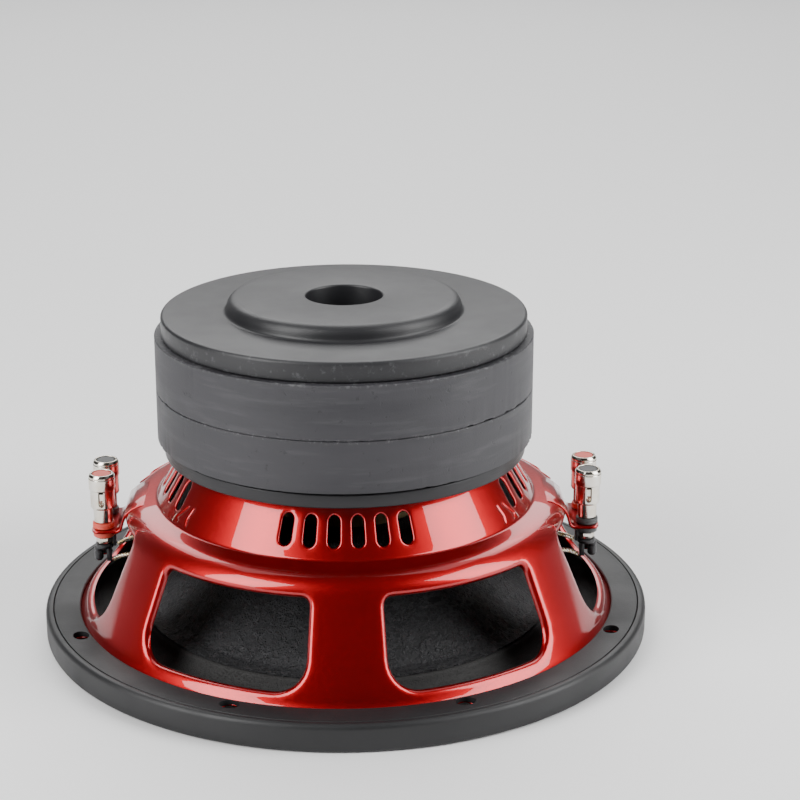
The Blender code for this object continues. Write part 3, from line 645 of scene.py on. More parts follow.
class Pattern:
    """The basket's outer line, unrolled: s runs along it from the bore to the flange's edge."""

    def __init__(self, corners):
        line = rounded(corners, 8)
        self.points = [Vector(line[0])]
        for point in line[1:]:
            here = Vector(point)
            gap = (here - self.points[-1]).length
            parts = max(1, math.ceil(gap / 2.4))
            start = self.points[-1]
            self.points += [start.lerp(here, (k + 1) / parts) for k in range(parts)]
        self.lengths = [0.0]
        for a, b in zip(self.points, self.points[1:]):
            self.lengths.append(self.lengths[-1] + (b - a).length)
        self.normals = []
        last = len(self.points) - 1
        for i in range(last + 1):
            along = (self.points[min(i + 1, last)] - self.points[max(i - 1, 0)]).normalized()
            self.normals.append(Vector((-along.y, along.x)))

    def at(self, s):
        """Point and outward normal at a length along the line."""
        s = min(max(s, 0.0), self.lengths[-1])
        low = 0
        for i, length in enumerate(self.lengths):
            if length <= s:
                low = i
        low = min(low, len(self.points) - 2)
        t = (s - self.lengths[low]) / (self.lengths[low + 1] - self.lengths[low])
        point = self.points[low].lerp(self.points[low + 1], t)
        return point, self.normals[low].lerp(self.normals[low + 1], t).normalized()

    def find(self, value, axis, start=0.0):
        """Length at which the radius (0) or the height (1) passes a value, after start."""
        for i in range(len(self.points) - 1):
            a, b = self.points[i][axis], self.points[i + 1][axis]
            if self.lengths[i] >= start and (a - value) * (b - value) <= 0 and a != b:
                return self.lengths[i] + (value - a) / (b - a) * (self.lengths[i + 1] - self.lengths[i])
        raise ValueError(value)


class Ruler:
    """Turns a radius or a height into a length along the pattern, and back."""

    def __init__(self, pattern, axis, start=0.0, limit=math.inf):
        self.pattern, self.axis, self.start, self.limit = pattern, axis, start, limit
        self.edge = pattern.find(limit, axis, start) if limit < math.inf else -math.inf

    def length(self, level):
        """Length at a level. Above the limit, where the line turns level, it runs on evenly."""
        if level > self.limit:
            return self.edge - (level - self.limit) * STRETCH
        return self.pattern.find(level, self.axis, self.start)

    def level(self, length):
        """Level at a length."""
        if length < self.edge:
            return self.limit + (self.edge - length) / STRETCH
        return self.pattern.at(length)[0][self.axis]


def arc_points(cx, cy, radius, start, end, count):
    """Points on an arc, angles in degrees."""
    found = []
    for i in range(count + 1):
        angle = math.radians(start + (end - start) * i / count)
        found.append((cx + radius * math.cos(angle), cy + radius * math.sin(angle)))
    return found


def spaced(outline, step):
    """A closed outline with extra points so that none are further apart than step."""
    found = []
    for i, point in enumerate(outline):
        here, after = Vector(point), Vector(outline[(i + 1) % len(outline)])
        parts = max(1, math.ceil((after - here).length / step))
        found += [tuple(here.lerp(after, k / parts)) for k in range(parts)]
    return found


class Hole:
    """A hole with a rolled rim: its outline grows by a distance, and it knows its distance field."""

    def __init__(self, azimuth, radius, half, low, high, corners, rim, step, ruler):
        self.azimuth, self.radius = azimuth, radius
        self.half, self.low, self.high = half, low, high
        self.bottom_corner, self.top_corner = corners
        self.rim, self.step = rim, step
        self.ruler = ruler
        self.turn = -math.tau * SPREAD if azimuth > 180 else 0.0
        ring = self.outline(rim + 0.9)
        self.sides = min(p[0] for p in ring), max(p[0] for p in ring)
        self.ends = min(p[1] for p in ring), max(p[1] for p in ring)

    def outline(self, grow):
        """The outline at a distance outside the hole, in the flat pattern."""
        half, low, high = self.half + grow, self.low - grow, self.high + grow
        b, t = self.bottom_corner + grow, self.top_corner + grow
        points = arc_points(half - b, low + b, b, -90, 0, 7)
        points += arc_points(half - t, high - t, t, 0, 90, 7)
        points += arc_points(-half + t, high - t, t, 90, 180, 7)
        points += arc_points(-half + b, low + b, b, 180, 270, 7)
        kept = []
        for point in points:
            if not kept or (Vector(point) - Vector(kept[-1])).length > 0.02:
                kept.append(point)
        if (Vector(kept[0]) - Vector(kept[-1])).length < 0.02:
            kept.pop()
        return [self.to_pattern(u, h) for u, h in spaced(kept, self.step)]

    def to_pattern(self, along, height):
        """From the outline's own coordinates to the flat pattern."""
        angle = math.radians(self.azimuth) + along / self.radius
        return angle * SPREAD + self.turn, self.ruler.length(height)

    def distance(self, x, length):
        """Signed distance from the outline in the flat pattern, or infinity far away."""
        if not (self.sides[0] < x < self.sides[1] and self.ends[0] < length < self.ends[1]):
            return math.inf
        height = self.ruler.level(length)
        along = ((x - self.turn) / SPREAD - math.radians(self.azimuth)) * self.radius
        corner = self.top_corner if height > (self.low + self.high) / 2 else self.bottom_corner
        qx = abs(along) - self.half + corner
        qy = abs(height - (self.low + self.high) / 2) - (self.high - self.low) / 2 + corner
        return math.hypot(max(qx, 0), max(qy, 0)) + min(max(qx, qy), 0) - corner


def basket_holes(pattern):
    """Windows, slots, mounting holes and screw holes in the flat pattern."""
    holes = []
    shelf = pattern.find(90.0, 0)
    wall = Ruler(pattern, 1, shelf, 54.0)
    for azimuth in (28.7, 151.3, 208.7, 331.3):
        holes.append(Hole(azimuth, 107.75, 37.61, 16.0, 51.0, (12.0, 3.5), 2.7, 2.6, wall))
    for azimuth in (90, 270):
        holes.append(Hole(azimuth, 107.75, 42.88, 16.0, 52.6, (12.0, 3.5), 2.7, 2.6, wall))
    collar = Ruler(pattern, 1, pattern.find(71.7, 0))
    for centre, count in ((0, 6), (90, 8), (180, 6), (270, 8)):
        for i in range(count):
            azimuth = (centre + (i - (count - 1) / 2) * 7.4) % 360
            holes.append(Hole(azimuth, 77.65, 2.5, 65.0, 76.8, (2.5, 2.5), 0.9, 1.5, collar))
    flange = Ruler(pattern, 0, shelf)
    for k in range(8):
        ends = HOLE_CIRCLE - HOLE_HALF_WIDTH, HOLE_CIRCLE + HOLE_HALF_WIDTH
        azimuth = 22.5 + 45 * k
        holes.append(Hole(azimuth, HOLE_CIRCLE, HOLE_HALF_LENGTH, *ends, (3.39, 3.39), 0.5, 1.2, flange))
    land = Ruler(pattern, 0)
    for k in range(4):
        ends = SCREW_CIRCLE - 2.6, SCREW_CIRCLE + 2.6
        holes.append(Hole(45 + 90 * k, SCREW_CIRCLE, 2.6, *ends, (2.59, 2.59), 0.3, 1.0, land))
    return holes


def roll_depth(distance, rim):
    """How far the sheet curls inwards at a distance from the hole's edge."""
    if distance >= rim:
        return 0.0
    return rim - math.sqrt(max(0.0, rim * rim - (rim - distance) ** 2))


def capsule(x, y, start, end):
    """Distance from a point to a segment."""
    here, a, b = Vector((x, y)), Vector(start), Vector(end)
    along = b - a
    share = min(1.0, max(0.0, (here - a).dot(along) / along.length_squared))
    return (here - a - along * share).length


DENTS = (((54.8, 68.6), (55.8, 64.4), (55.2, 62.4)), ((58.0, 68.4), (61.6, 63.2), (60.4, 61.9)))


def dent_depth(azimuth, height):
    """Two thin pressed L marks on the collar, beside each group of side slots."""
    azimuth = abs(azimuth)
    azimuth = min(azimuth, 180 - azimuth)
    if not (52 < azimuth < 65 and 59 < height < 70):
        return 0.0
    marks = [[(a * 1.36, h) for a, h in mark] for mark in DENTS]
    legs = [leg for mark in marks for leg in zip(mark, mark[1:])]
    near = min(capsule(azimuth * 1.36, height, *leg) for leg in legs)
    return 0.4 * max(0.0, 1 - near / 0.8)


def make_basket():
    """The stamped frame: a flat pattern with holes, triangulated and rolled into the turned shape."""
    pattern = Pattern(BASKET_LINE)
    holes = basket_holes(pattern)
    edge = math.pi * SPREAD
    columns = 300
    flat = []
    for k in range(columns + 1):
        x = -edge + 2 * edge * k / columns
        for length in pattern.lengths:
            if all(hole.distance(x, length) > hole.rim + 0.8 for hole in holes):
                flat.append(Vector((x, length)))
    collar = pattern.find(76.5, 0)
    for azimuth in (58.5, 121.5, -58.5, -121.5):
        for k in range(-22, 23):
            x = math.radians(azimuth + k * 0.29) * SPREAD
            rows = (collar + 0.45 * n for n in range(28))
            clear = (row for row in rows if all(hole.distance(x, row) > hole.rim + 0.4 for hole in holes))
            flat += [Vector((x, row)) for row in clear]
    curls = [0.0] * len(flat)
    edges = []
    for hole in holes:
        for share in (0.0, 0.06, 0.18, 0.36, 0.62, 1.0):
            ring = hole.outline(hole.rim * share)
            start = len(flat)
            for point in ring:
                flat.append(Vector(point))
                curls.append(roll_depth(hole.rim * share, hole.rim))
            count = len(ring)
            edges += [(start + i, start + (i + 1) % count) for i in range(count)]
    verts, _, faces, origins, _, _ = delaunay_2d_cdt(flat, edges, [], 0, 1e-5)
    inside = []
    for face in faces:
        middle = sum((verts[i] for i in face), Vector((0, 0))) / len(face)
        if all(hole.distance(middle.x, middle.y) > -0.02 for hole in holes):
            inside.append(tuple(face))
    placed = []
    for vert, sources in zip(verts, origins):
        curl = max((curls[i] for i in sources), default=0.0)
        point, normal = pattern.at(vert.y)
        angle = vert.x / SPREAD
        if point.x > 76.0:
            curl += dent_depth(math.degrees(angle), point.y)
        r, z = point.x - normal.x * curl, point.y - normal.y * curl
        placed.append((r * math.sin(angle), -r * math.cos(angle), z))
    mesh = bpy.data.meshes.new("basket_shell")
    mesh.from_pydata([(x * MM, y * MM, z * MM) for x, y, z in placed], [], inside)
    bm = bmesh.new()
    bm.from_mesh(mesh)
    bmesh.ops.remove_doubles(bm, verts=bm.verts, dist=2e-6)
    loose = [v for v in bm.verts if not v.link_faces]
    bmesh.ops.delete(bm, geom=loose, context="VERTS")
    bmesh.ops.recalc_face_normals(bm, faces=bm.faces)
    probe = max(bm.faces, key=lambda face: face.calc_center_median().z)
    if probe.normal.z < 0:
        bmesh.ops.reverse_faces(bm, faces=bm.faces)
    bm.to_mesh(mesh)
    bm.free()
    basket = add("basket_shell", mesh, "paint", 50)
    solid = basket.modifiers.new("thickness", "SOLIDIFY")
    solid.thickness = 1.2 * MM
    solid.offset = -1.0
    solid.use_even_offset = False
    apply_modifiers(basket, 50)
    stand_in(basket, "frame", "basket_paint", "basket")
    for side in (-1, 1):
        make_tab(side)


TAB_LINE = (
    (89.0, 59.35),
    (91.0, 59.05),
    (94.5, 57.5, 4.0),
    (97.4, 55.0, 3.0),
    (99.0, 51.4, 3.0),
    (100.2, 46.9, 2.6),
    (112.4, 46.9),
)
TAB_FOLDS = (
    ((97.1, 75.9, 55.2), (94.8, 75.4, 57.1), (92.8, 67.7, 58.1)),
    ((98.0, 67.8, 54.2), (95.8, 67.4, 56.5), (93.5, 61.0, 57.7)),
)


TAB_HALF_WIDTH, TAB_CORNER, TAB_THICKNESS = 15.0, 3.0, 1.2
TAB_EDGE = ((0.0, 0.35), (0.12, 0.1), (0.35, 0.0))  # how far the rounded edge is in, and down


def tab_sections():
    """Loops of (y, r, z) round the tab, from its root to its end, where its corners are round."""
    line = rounded(TAB_LINE, 6)
    start, end = line[-2][0], line[-1][0]
    line = line[:-1] + [(start + (end - start) * k / 10, line[-1][1]) for k in range(1, 11)]
    for upper, under in zip(line, offset(line, TAB_THICKNESS)):
        past = max(0.0, upper[0] - (end - TAB_CORNER))
        reach = TAB_HALF_WIDTH - TAB_CORNER + math.sqrt(max(0.0, TAB_CORNER**2 - past**2))
        upper, under = Vector(upper), Vector(under)
        top = [(reach - inset, *upper.lerp(under, drop / TAB_THICKNESS)) for inset, drop in TAB_EDGE]
        low = [
            (reach - inset, *upper.lerp(under, 1 - drop / TAB_THICKNESS)) for inset, drop in TAB_EDGE[::-1]
        ]
        yield [(-y, r, z) for y, r, z in top] + top[::-1] + low + [(-y, r, z) for y, r, z in low[::-1]]


def make_tab(side):
    """A terminal tab with rounded folds and corners, and pressed chevrons at its root."""
    name = "left" if side < 0 else "right"
    sections = list(tab_sections())
    per = len(sections[0])
    verts = [(side * r, y, z) for section in sections for y, r, z in section]
    faces = []
    for i in range(len(sections) - 1):
        for k in range(per):
            m = (k + 1) % per
            faces.append((i * per + k, i * per + m, (i + 1) * per + m, (i + 1) * per + k))
    faces += [tuple(range(per)), tuple(len(verts) - per + k for k in range(per))[::-1]]
    tab = add(f"{name}_tab", new_mesh(f"{name}_tab", verts, faces), "paint", 45)
    bore = [(0, 52), (3.2, 52), (3.2, 40), (0, 40)]
    for y in (-TERMINAL_Y, TERMINAL_Y):
        cut(tab, lathe("tab_hole", bore, FINE, False, (side * TERMINAL_X, y)), 45)
    stand_in(tab, "frame", "basket_paint")
    bits = []
    for end in (-1, 1):
        for fold in TAB_FOLDS:
            route = []
            for radius, azimuth, height in fold:
                angle = math.radians(90 + end * (90 - azimuth))
                route.append((side * radius * math.sin(angle), -radius * math.cos(angle), height))
            bits.append(tube(curve_through(route, 8), 0.5, 10, 0.7))
    folds = add(f"{name}_tab_folds", joined(f"{name}_tab_folds", bits), "paint", 60)
    stand_in(folds, "frame", "basket_paint")


def curve_through(points, steps):
    """Points on a Catmull-Rom curve through a route."""
    route = [Vector(point) for point in points]
    route = [2 * route[0] - route[1], *route, 2 * route[-1] - route[-2]]
    found = []
    for i in range(1, len(route) - 2):
        for k in range(steps):
            t = k / steps
            a, b, c, d = route[i - 1 : i + 3]
            curve = 2 * b + (c - a) * t + (2 * a - 5 * b + 4 * c - d) * t * t
            found.append((curve + (3 * b - a - 3 * c + d) * t**3) / 2)
    return [*found, route[-2]]


# ---------------------------------------------------------------- rings and surround


def oval_cutter(grow=0.0, low=-3.0, high=16.0):
    """The eight oval mounting holes as one cutter."""
    bits = []
    for k in range(8):
        angle = math.radians(22.5 + 45 * k)
        out = Vector((math.sin(angle), -math.cos(angle), 0))
        along = Vector((math.cos(angle), math.sin(angle), 0))
        verts, faces = [], []
        count = 40
        for z in (low, high):
            for i in range(count):
                turn = math.tau * i / count
                place = out * (HOLE_CIRCLE + (HOLE_HALF_WIDTH + grow) * math.sin(turn))
                place += along * (HOLE_HALF_LENGTH + grow) * math.cos(turn)
                verts.append((place.x, place.y, z))
        for i in range(count):
            j = (i + 1) % count
            faces.append((i, j, count + j, count + i))
        faces.append(tuple(range(count))[::-1])
        faces.append(tuple(range(count, 2 * count)))
        bits.append((verts, faces))
    mesh = joined("ovals", bits)
    bm = bmesh.new()
    bm.from_mesh(mesh)
    bmesh.ops.recalc_face_normals(bm, faces=bm.faces)
    bm.to_mesh(mesh)
    bm.free()
    return mesh


def make_rings():
    """The moulded trim ring on the front and the gasket on the flange's back."""
    back = [(120.5, 6.6, 0.4), (131.6, 6.6, 0.3)]
    front = [(131.6, 12.0, 0.3), (135.0, 12.0, 2.3), (135.0, 0.0, 1.5), (120.5, 0.0, 1.5)]
    ring = loop_of(front + back, 5)
    trim = turned("trim_ring_shell", ring, "trim")
    cut(trim, oval_cutter())
    stand_in(trim, "frame", "black_trim", "trim_ring")
    band = [(119.6, 12.0, 0.7), (131.3, 12.0, 0.35), (131.3, 9.6, 0.2), (121.8, 9.6, 0.3), (119.6, 10.6, 0.5)]
    band = loop_of(band, 4)
    gasket = turned("rear_gasket_ring", band, "gasket")
    cut(gasket, oval_cutter())
    stand_in(gasket, "frame", "black_rubber", "rear_gasket")


def surround_line():
    """Middle of the foam sheet, from the inner lip over the roll to the outer lip."""
    points = [(86.4, 10.6), (88.5, 10.6), (90.4, 10.6), (91.6, 10.6), (92.4, 10.45)]
    middle, half = (119.6 + 93.2) / 2, (119.6 - 93.2) / 2
    count = 22
    for i in range(1, count):
        angle = math.pi * (1 - i / count)
        share = (1 + math.cos(angle)) / 2
        base = 10.6 + (7.2 - 10.6) * share
        points.append((middle + half * math.cos(angle), base - 7.1 * math.sin(angle)))
    points += [(120.4, 7.1), (121.4, 7.2), (124.0, 7.2), (127.4, 7.2), (130.6, 7.2)]
    return points


def sector_sheet(name, line, thickness, start, end, columns):
    """A part of a turned sheet between two azimuths, closed at its rims."""
    half = thickness / 2
    loop = offset(line, -half) + offset(line, half)[::-1]
    count = len(loop)
    verts, faces = [], []
    for k in range(columns + 1):
        angle = math.radians(start + (end - start) * k / columns)
        verts += [(r * math.sin(angle), -r * math.cos(angle), z) for r, z in loop]
    for k in range(columns):
        for i in range(count):
            j = (i + 1) % count
            faces.append((k * count + i, (k + 1) * count + i, (k + 1) * count + j, k * count + j))
    for base in (0, columns * count):
        for i in range(count // 2 - 1):
            faces.append((base + i, base + i + 1, base + count - 2 - i, base + count - 1 - i))
    return new_mesh(name, verts, faces)


def turned_normals(mesh, line):
    """Gives a sector the normals of the whole turned sheet, so that its edges don't show."""
    radii = [p[0] for p in line]
    slopes = []
    for i in range(len(line)):
        a, b = line[max(i - 1, 0)], line[min(i + 1, len(line) - 1)]
        along = Vector((b[0] - a[0], b[1] - a[1])).normalized()
        slopes.append(Vector((-along.y, along.x)))
    normals = []
    for polygon in mesh.polygons:
        for index in polygon.vertices:
            place = mesh.vertices[index].co
            r = math.hypot(place.x, place.y) / MM
            i = min(range(len(radii)), key=lambda k: abs(radii[k] - r))
            around = Vector((place.x, place.y, 0)).normalized()
            normal = around * slopes[i].x + Vector((0, 0, slopes[i].y))
            if polygon.normal.dot(normal) < 0:
                normal = -normal
            flat = abs(polygon.normal.dot(normal)) < 0.8
            normals.append(tuple(polygon.normal if flat else normal))
    mesh.normals_split_custom_set(normals)


def make_sectors(base, line, thickness, look, node, pierced=False):
    """A flexible ring in 24 sectors."""
    for k in range(24):
        start = 15.0 * k
        name = f"{base}_{k + 1:02d}"
        mesh = sector_sheet(name, line, thickness, start, start + 15.0, 12)
        piece = add(name, mesh, look, 60)
        if pierced:
            cut(piece, oval_cutter(0.5), 60)
        turned_normals(piece.data, line)
        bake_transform(piece)
        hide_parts(node)


def spider_line():
    """Middle of the spider's cloth, from its neck to the land under the shelf."""
    points = [(33.6, 53.0), (33.7, 54.4), (34.2, 55.2), (35.2, 55.4)]
    low, high = 36.4, 84.0
    count = 60
    for i in range(count + 1):
        t = i / count
        points.append((low + (high - low) * t, 55.2 + 0.85 * math.cos(math.tau * 5 * t)))
    points += [(86.0, 56.0), (89.0, 56.0), (92.0, 56.0)]
    return points


# ---------------------------------------------------------------- motor


def ripple(seed, angle):
    """A repeatable uneven value from -1 to 1 around a ring."""
    value = 0.0
    for n, weight in ((3, 0.2), (7, 0.3), (17, 0.3), (41, 0.35), (89, 0.3)):
        drift = 1.3 * math.sin(angle * (n // 2 + 1) + seed)
        value += weight * math.sin(n * angle + seed * (1.7 + n * 0.37) + drift)
    return value


def chipped(seed, low_edge, high_edge):
    """Edge wear for a magnet: some stretches of its rims are chipped back."""

    def move(angle, i):
        if i in low_edge or i in high_edge:
            bite = max(0.0, ripple(seed + (3 if i in low_edge else 0), angle) - 0.45)
            up = 1 if i in low_edge else -1
            return -0.55 * bite, up * 0.45 * bite
        return 0.0, 0.0

    return move


def around_screws():
    """The plate screws' places."""
    for k in range(4):
        angle = math.radians(45 + 90 * k)
        yield SCREW_CIRCLE * math.sin(angle), -SCREW_CIRCLE * math.cos(angle)


def make_top_plate():
    """The motor's front plate, with its four threaded holes."""
    plate = loop_of([(36.0, 87.5, 0.4), (79.6, 87.5, 0.6), (79.6, 81.6, 0.6), (36.0, 81.6, 0.4)], 4)
    plate = turned("top_plate_disc", plate, "zinc")
    bore = [(0, 92), (2.6, 92), (2.6, 78), (0, 78)]
    for place in around_screws():
        cut(plate, lathe("bore", bore, 24, False, place))
    stand_in(plate, "frame", "zinc_plate", "top_plate")


def make_magnets():
    """Two ferrite rings with worn rims. The lower one's foot is ground back."""
    feet = ((79.0, 1.3), (82.2, 0.35))
    for seed, (bottom, (foot, rise)) in enumerate(zip(MAGNET_BOTTOMS, feet)):
        name = ("magnet_lower", "magnet_upper")[seed]
        top = bottom + MAGNET_HEIGHT
        line = [(42.0, top), (60.0, top), (MAGNET_RADIUS - 1.0, top), (MAGNET_RADIUS - 0.3, top)]
        line += [(MAGNET_RADIUS, z) for z in (top - 0.35, top - 6, bottom + rise + 6, bottom + rise)]
        line += [(foot, bottom), (foot - 0.8, bottom), (60.0, bottom), (42.0, bottom)]
        wobble = chipped(seed * 2.3 + 0.7, {7, 8}, {3, 4})
        magnet = add(f"{name}_ring", lathe(f"{name}_ring", line, 480, True, (0, 0), wobble), name, 32)
        stand_in(magnet, "frame", "ferrite", name)


def make_yoke():
    """The T-yoke: back plate with its boss, and the pole with its vent."""
    boss = [(16.6, 150.3, 1.0), (50.5, 150.3, 4.6), (51.4, 143.8, 1.7)]
    plate = [(79.6, 143.8, 1.6), (79.6, 135.2, 0.6), (31.6, 135.2, 0.8)]
    pole = [(31.6, 83.0, 0.6), (20.6, 83.0, 0.6), (16.6, 92.0, 1.0)]
    yoke = turned("t_yoke_steel", loop_of(boss + plate + pole, 7), "satin")
    stand_in(yoke, "frame", "black_steel", "t_yoke")


def make_plate_screws():
    """Four cross recessed screws under the basket's land."""
    shank = [(0, 86.9), (1.5, 86.9), (2.0, 86.3), (2.0, 79.8)]
    head = [(3.8, 79.8), (3.8, 79.0), (3.2, 77.9), (1.8, 77.4), (0, 77.3)]
    for k, (x, y) in enumerate(around_screws()):
        name = f"plate_screw_{k + 1}"
        screw = turned(f"{name}_pan_head", shank + head, "steel", 32, (x, y), False)
        middle = Matrix.Translation(Vector((x, y, 77.6)) * MM)
        for turn in (0, 90):
            place = middle @ Matrix.Rotation(math.radians(turn), 4, "Z")
            cut(screw, box_mesh(place @ Matrix.Diagonal((0.0042, 0.0008, 0.0018, 1))))
        stand_in(screw, "frame", "steel", name)


# ---------------------------------------------------------------- moving assembly


def cone_height(radius):
    """Height of the cone's back at a radius."""
    return 11.9 + (45.6 - 11.9) * (85.5 - radius) / (85.5 - 34.0)


def make_cone():
    """The pulp cone and the woven skin on its front."""
    line = rounded([(34.0, 45.6), (60.0, cone_height(60.0) + 0.6, 60.0), (85.5, 11.9, 3.0), (92.0, 12.0)], 8)
    dense = []
    for a, b in zip(line, line[1:]):
        parts = max(1, math.ceil(math.dist(a, b) / 3.0))
        dense += [(a[0] + (b[0] - a[0]) * k / parts, a[1] + (b[1] - a[1]) * k / parts) for k in range(parts)]
    dense.append(line[-1])
    cone = add("pulp_cone", sheet("pulp_cone", dense, 0.9), "pulp", 40)
    stand_in(cone, "cone_assembly", "pulp", "cone")
    low = 0.9 * 1.25 + 0.3
    shares = [k / 12 for k in range(13)]
    skin = [(60.2 + 24.4 * t, cone_height(60.2 + 24.4 * t) - low + 0.5 * (1 - t)) for t in shares]
    skin = add("woven_cone_skin", sheet("woven_cone_skin", skin, 0.4), "skin", 40)
    stand_in(skin, "cone_assembly", "woven_skin", "cone_skin")


def make_band():
    """The flat band sewn round the cone's edge, and its two rows of stitches."""
    band = loop_of([(85.0, 10.0, 0.15), (92.3, 10.0, 0.25), (92.3, 9.3, 0.3), (85.0, 9.3, 0.25)], 4)
    band = turned("sewn_band", band, "band")
    stand_in(band, "cone_assembly", "band_cloth", "stitch_band")
    bits = []
    for radius, count, shift in ((89.4, 168, 0.0), (87.0, 164, 0.4)):
        for k in range(count):
            centre = math.tau * (k + shift) / count
            half = 0.36 * math.tau / count
            route = []
            for t, z in ((-1, 9.42), (-0.7, 9.24), (0, 9.14), (0.7, 9.24), (1, 9.42)):
                angle = centre + half * t
                route.append((radius * math.sin(angle), -radius * math.cos(angle), z))
            bits.append(tube(route, 0.27, 6, 0.4))
    stitches = add("band_stitches", joined("band_stitches", bits), "thread", 60)
    stand_in(stitches, "cone_assembly", "band_cloth")


def make_dust_cap():
    """The dome over the coil, with a small rolled rim."""
    rim = cone_height(64.5) - 2.6
    cap = [(64.5, rim), (63.4, rim + 0.35), (61.6, rim + 0.45), (60.6, rim + 0.1)]
    reach, depth = 59.5, rim - 3.4 - 0.8
    for i in range(31):
        angle = math.radians(8 + 82 * i / 30)
        cap.append((reach * math.cos(angle), rim - depth * math.sin(angle)))
    cap = cap[::-1]
    cap[0] = (0.0, cap[0][1])
    loop = cap + offset(cap, 0.8)[::-1]
    loop[-1] = (0.0, loop[-1][1])
    dome = turned("dust_cap_dome", loop, "dome", STEPS, (0, 0), False, 40)
    stand_in(dome, "cone_assembly", "cap_satin", "dust_cap")


def make_coil():
    """The former and its two windings, whose turns show as ridges."""
    former = loop_of([(32.4, 100.0, 0.1), (32.9, 100.0, 0.1), (32.9, 38.0, 0.1), (32.4, 38.0, 0.1)], 2)
    former = turned("coil_former_tube", former, "former", 144)
    stand_in(former, "cone_assembly", "coil_former", "coil_former")
    for name, inner in (("winding_inner", 33.2), ("winding_outer", 34.4)):
        loop = [(inner, 98.5)]
        turns = 30
        for k in range(turns):
            top = 98.5 - 28.5 * k / turns
            loop += [(inner + 0.72, top), (inner + 0.9, top - 0.475)]
        loop += [(inner + 0.72, 70.0), (inner, 70.0)]
        winding = turned(f"{name}_wire", loop, "copper", 96, smooth=60)
        stand_in(winding, "cone_assembly", "copper", name)


# ---------------------------------------------------------------- terminals and leads


TERMINALS = {
    "left_front": (-TERMINAL_X, -TERMINAL_Y),
    "left_rear": (-TERMINAL_X, TERMINAL_Y),
    "right_front": (TERMINAL_X, -TERMINAL_Y),
    "right_rear": (TERMINAL_X, TERMINAL_Y),
}


def marking(name):
    """The colour of a terminal's disc and insulators."""
    return "red_plastic" if name in ("left_front", "right_rear") else "black_plastic"


def slot_cutter(x, y):
    """The sleeve's long slot, which runs through along Y."""
    outline = arc_points(0, 64.15, 1.25, 0, 180, 10) + arc_points(0, 59.25, 1.25, 180, 360, 10)
    verts = [(x + u, y + d, h) for d in (-8, 8) for u, h in outline]
    count = len(outline)
    faces = [(i, (i + 1) % count, count + (i + 1) % count, count + i) for i in range(count)]
    faces += [tuple(range(count))[::-1], tuple(range(count, 2 * count))]
    return new_mesh("slot", verts, faces)


def make_sleeve(name, x, y):
    """The slotted barrel that is pushed down, and the colour disc in its end."""
    rim = [(0.0, 71.5), (4.3, 71.5, 0.15), (4.3, 72.4, 0.15), (5.0, 72.4, 0.25), (5.75, 71.3, 0.4)]
    groove = [(5.75, 70.9, 0.1), (5.55, 70.7, 0.1), (5.55, 70.4, 0.1), (5.8, 70.2, 0.1)]
    barrel = [(5.8, 65.4, 0.2), (5.4, 65.0, 0.1), (5.4, 57.2, 0.3), (4.95, 56.4, 0.2)]
    bore = [(4.5, 56.4, 0.1), (4.5, 70.4, 0.2), (0.0, 70.4)]
    line = rounded(rim + groove + barrel + bore, 3)
    sleeve = turned(f"{name}_sleeve_shell", line, "nickel", 64, (x, y), False, 30)
    cut(sleeve, slot_cutter(x, y), 30)
    bevel(sleeve, 0.09, 2, 50, 30)
    stand_in(sleeve, f"{name}_button", "nickel", f"{name}_sleeve")
    crown = [(0.0, 72.22), (2.0, 72.25), (3.6, 72.28, 0.2), (4.0, 72.1, 0.15), (4.0, 71.8, 0.05), (0.0, 71.8)]
    colour = marking(name)
    disc = turned(f"{name}_marker_disc", rounded(crown, 3), colour, FINE, (x, y), False)
    stand_in(disc, f"{name}_button", colour, f"{name}_marker")


def make_post(name, x, y):
    """The fixed post with its wire hole, and the spring between it and the sleeve."""
    body = [(0.0, 64.0), (4.2, 64.0, 0.4), (4.2, 50.0, 0.3)]
    stud = [(1.9, 50.0, 0.15), (1.9, 38.9, 0.3), (0.0, 38.9)]
    post = turned(f"{name}_post_turned", rounded(body + stud, 4), "nickel", FINE, (x, y), False, 30)
    hole = lathe("wire_hole", [(0, 6), (1.3, 6), (1.3, -6), (0, -6)], 24, False)
    lying = Matrix.Rotation(math.radians(90), 4, "X")
    hole.transform(Matrix.Translation(Vector((x, y, 59.4)) * MM) @ lying)
    cut(post, hole, 30)
    stand_in(post, "frame", "nickel", f"{name}_post")
    low, high, turns, steps = 64.75, 69.65, 2.6, 70
    route = []
    for i in range(steps + 1):
        angle = math.tau * turns * i / steps
        height = low + (high - low) * i / steps
        route.append((x + 3.2 * math.cos(angle), y + 3.2 * math.sin(angle), height))
    spring = add(f"{name}_spring_wire", joined(f"{name}_spring_wire", [tube(route, 0.38, 8)]), "steel", 60)
    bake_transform(spring)
    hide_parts(f"{name}_spring")


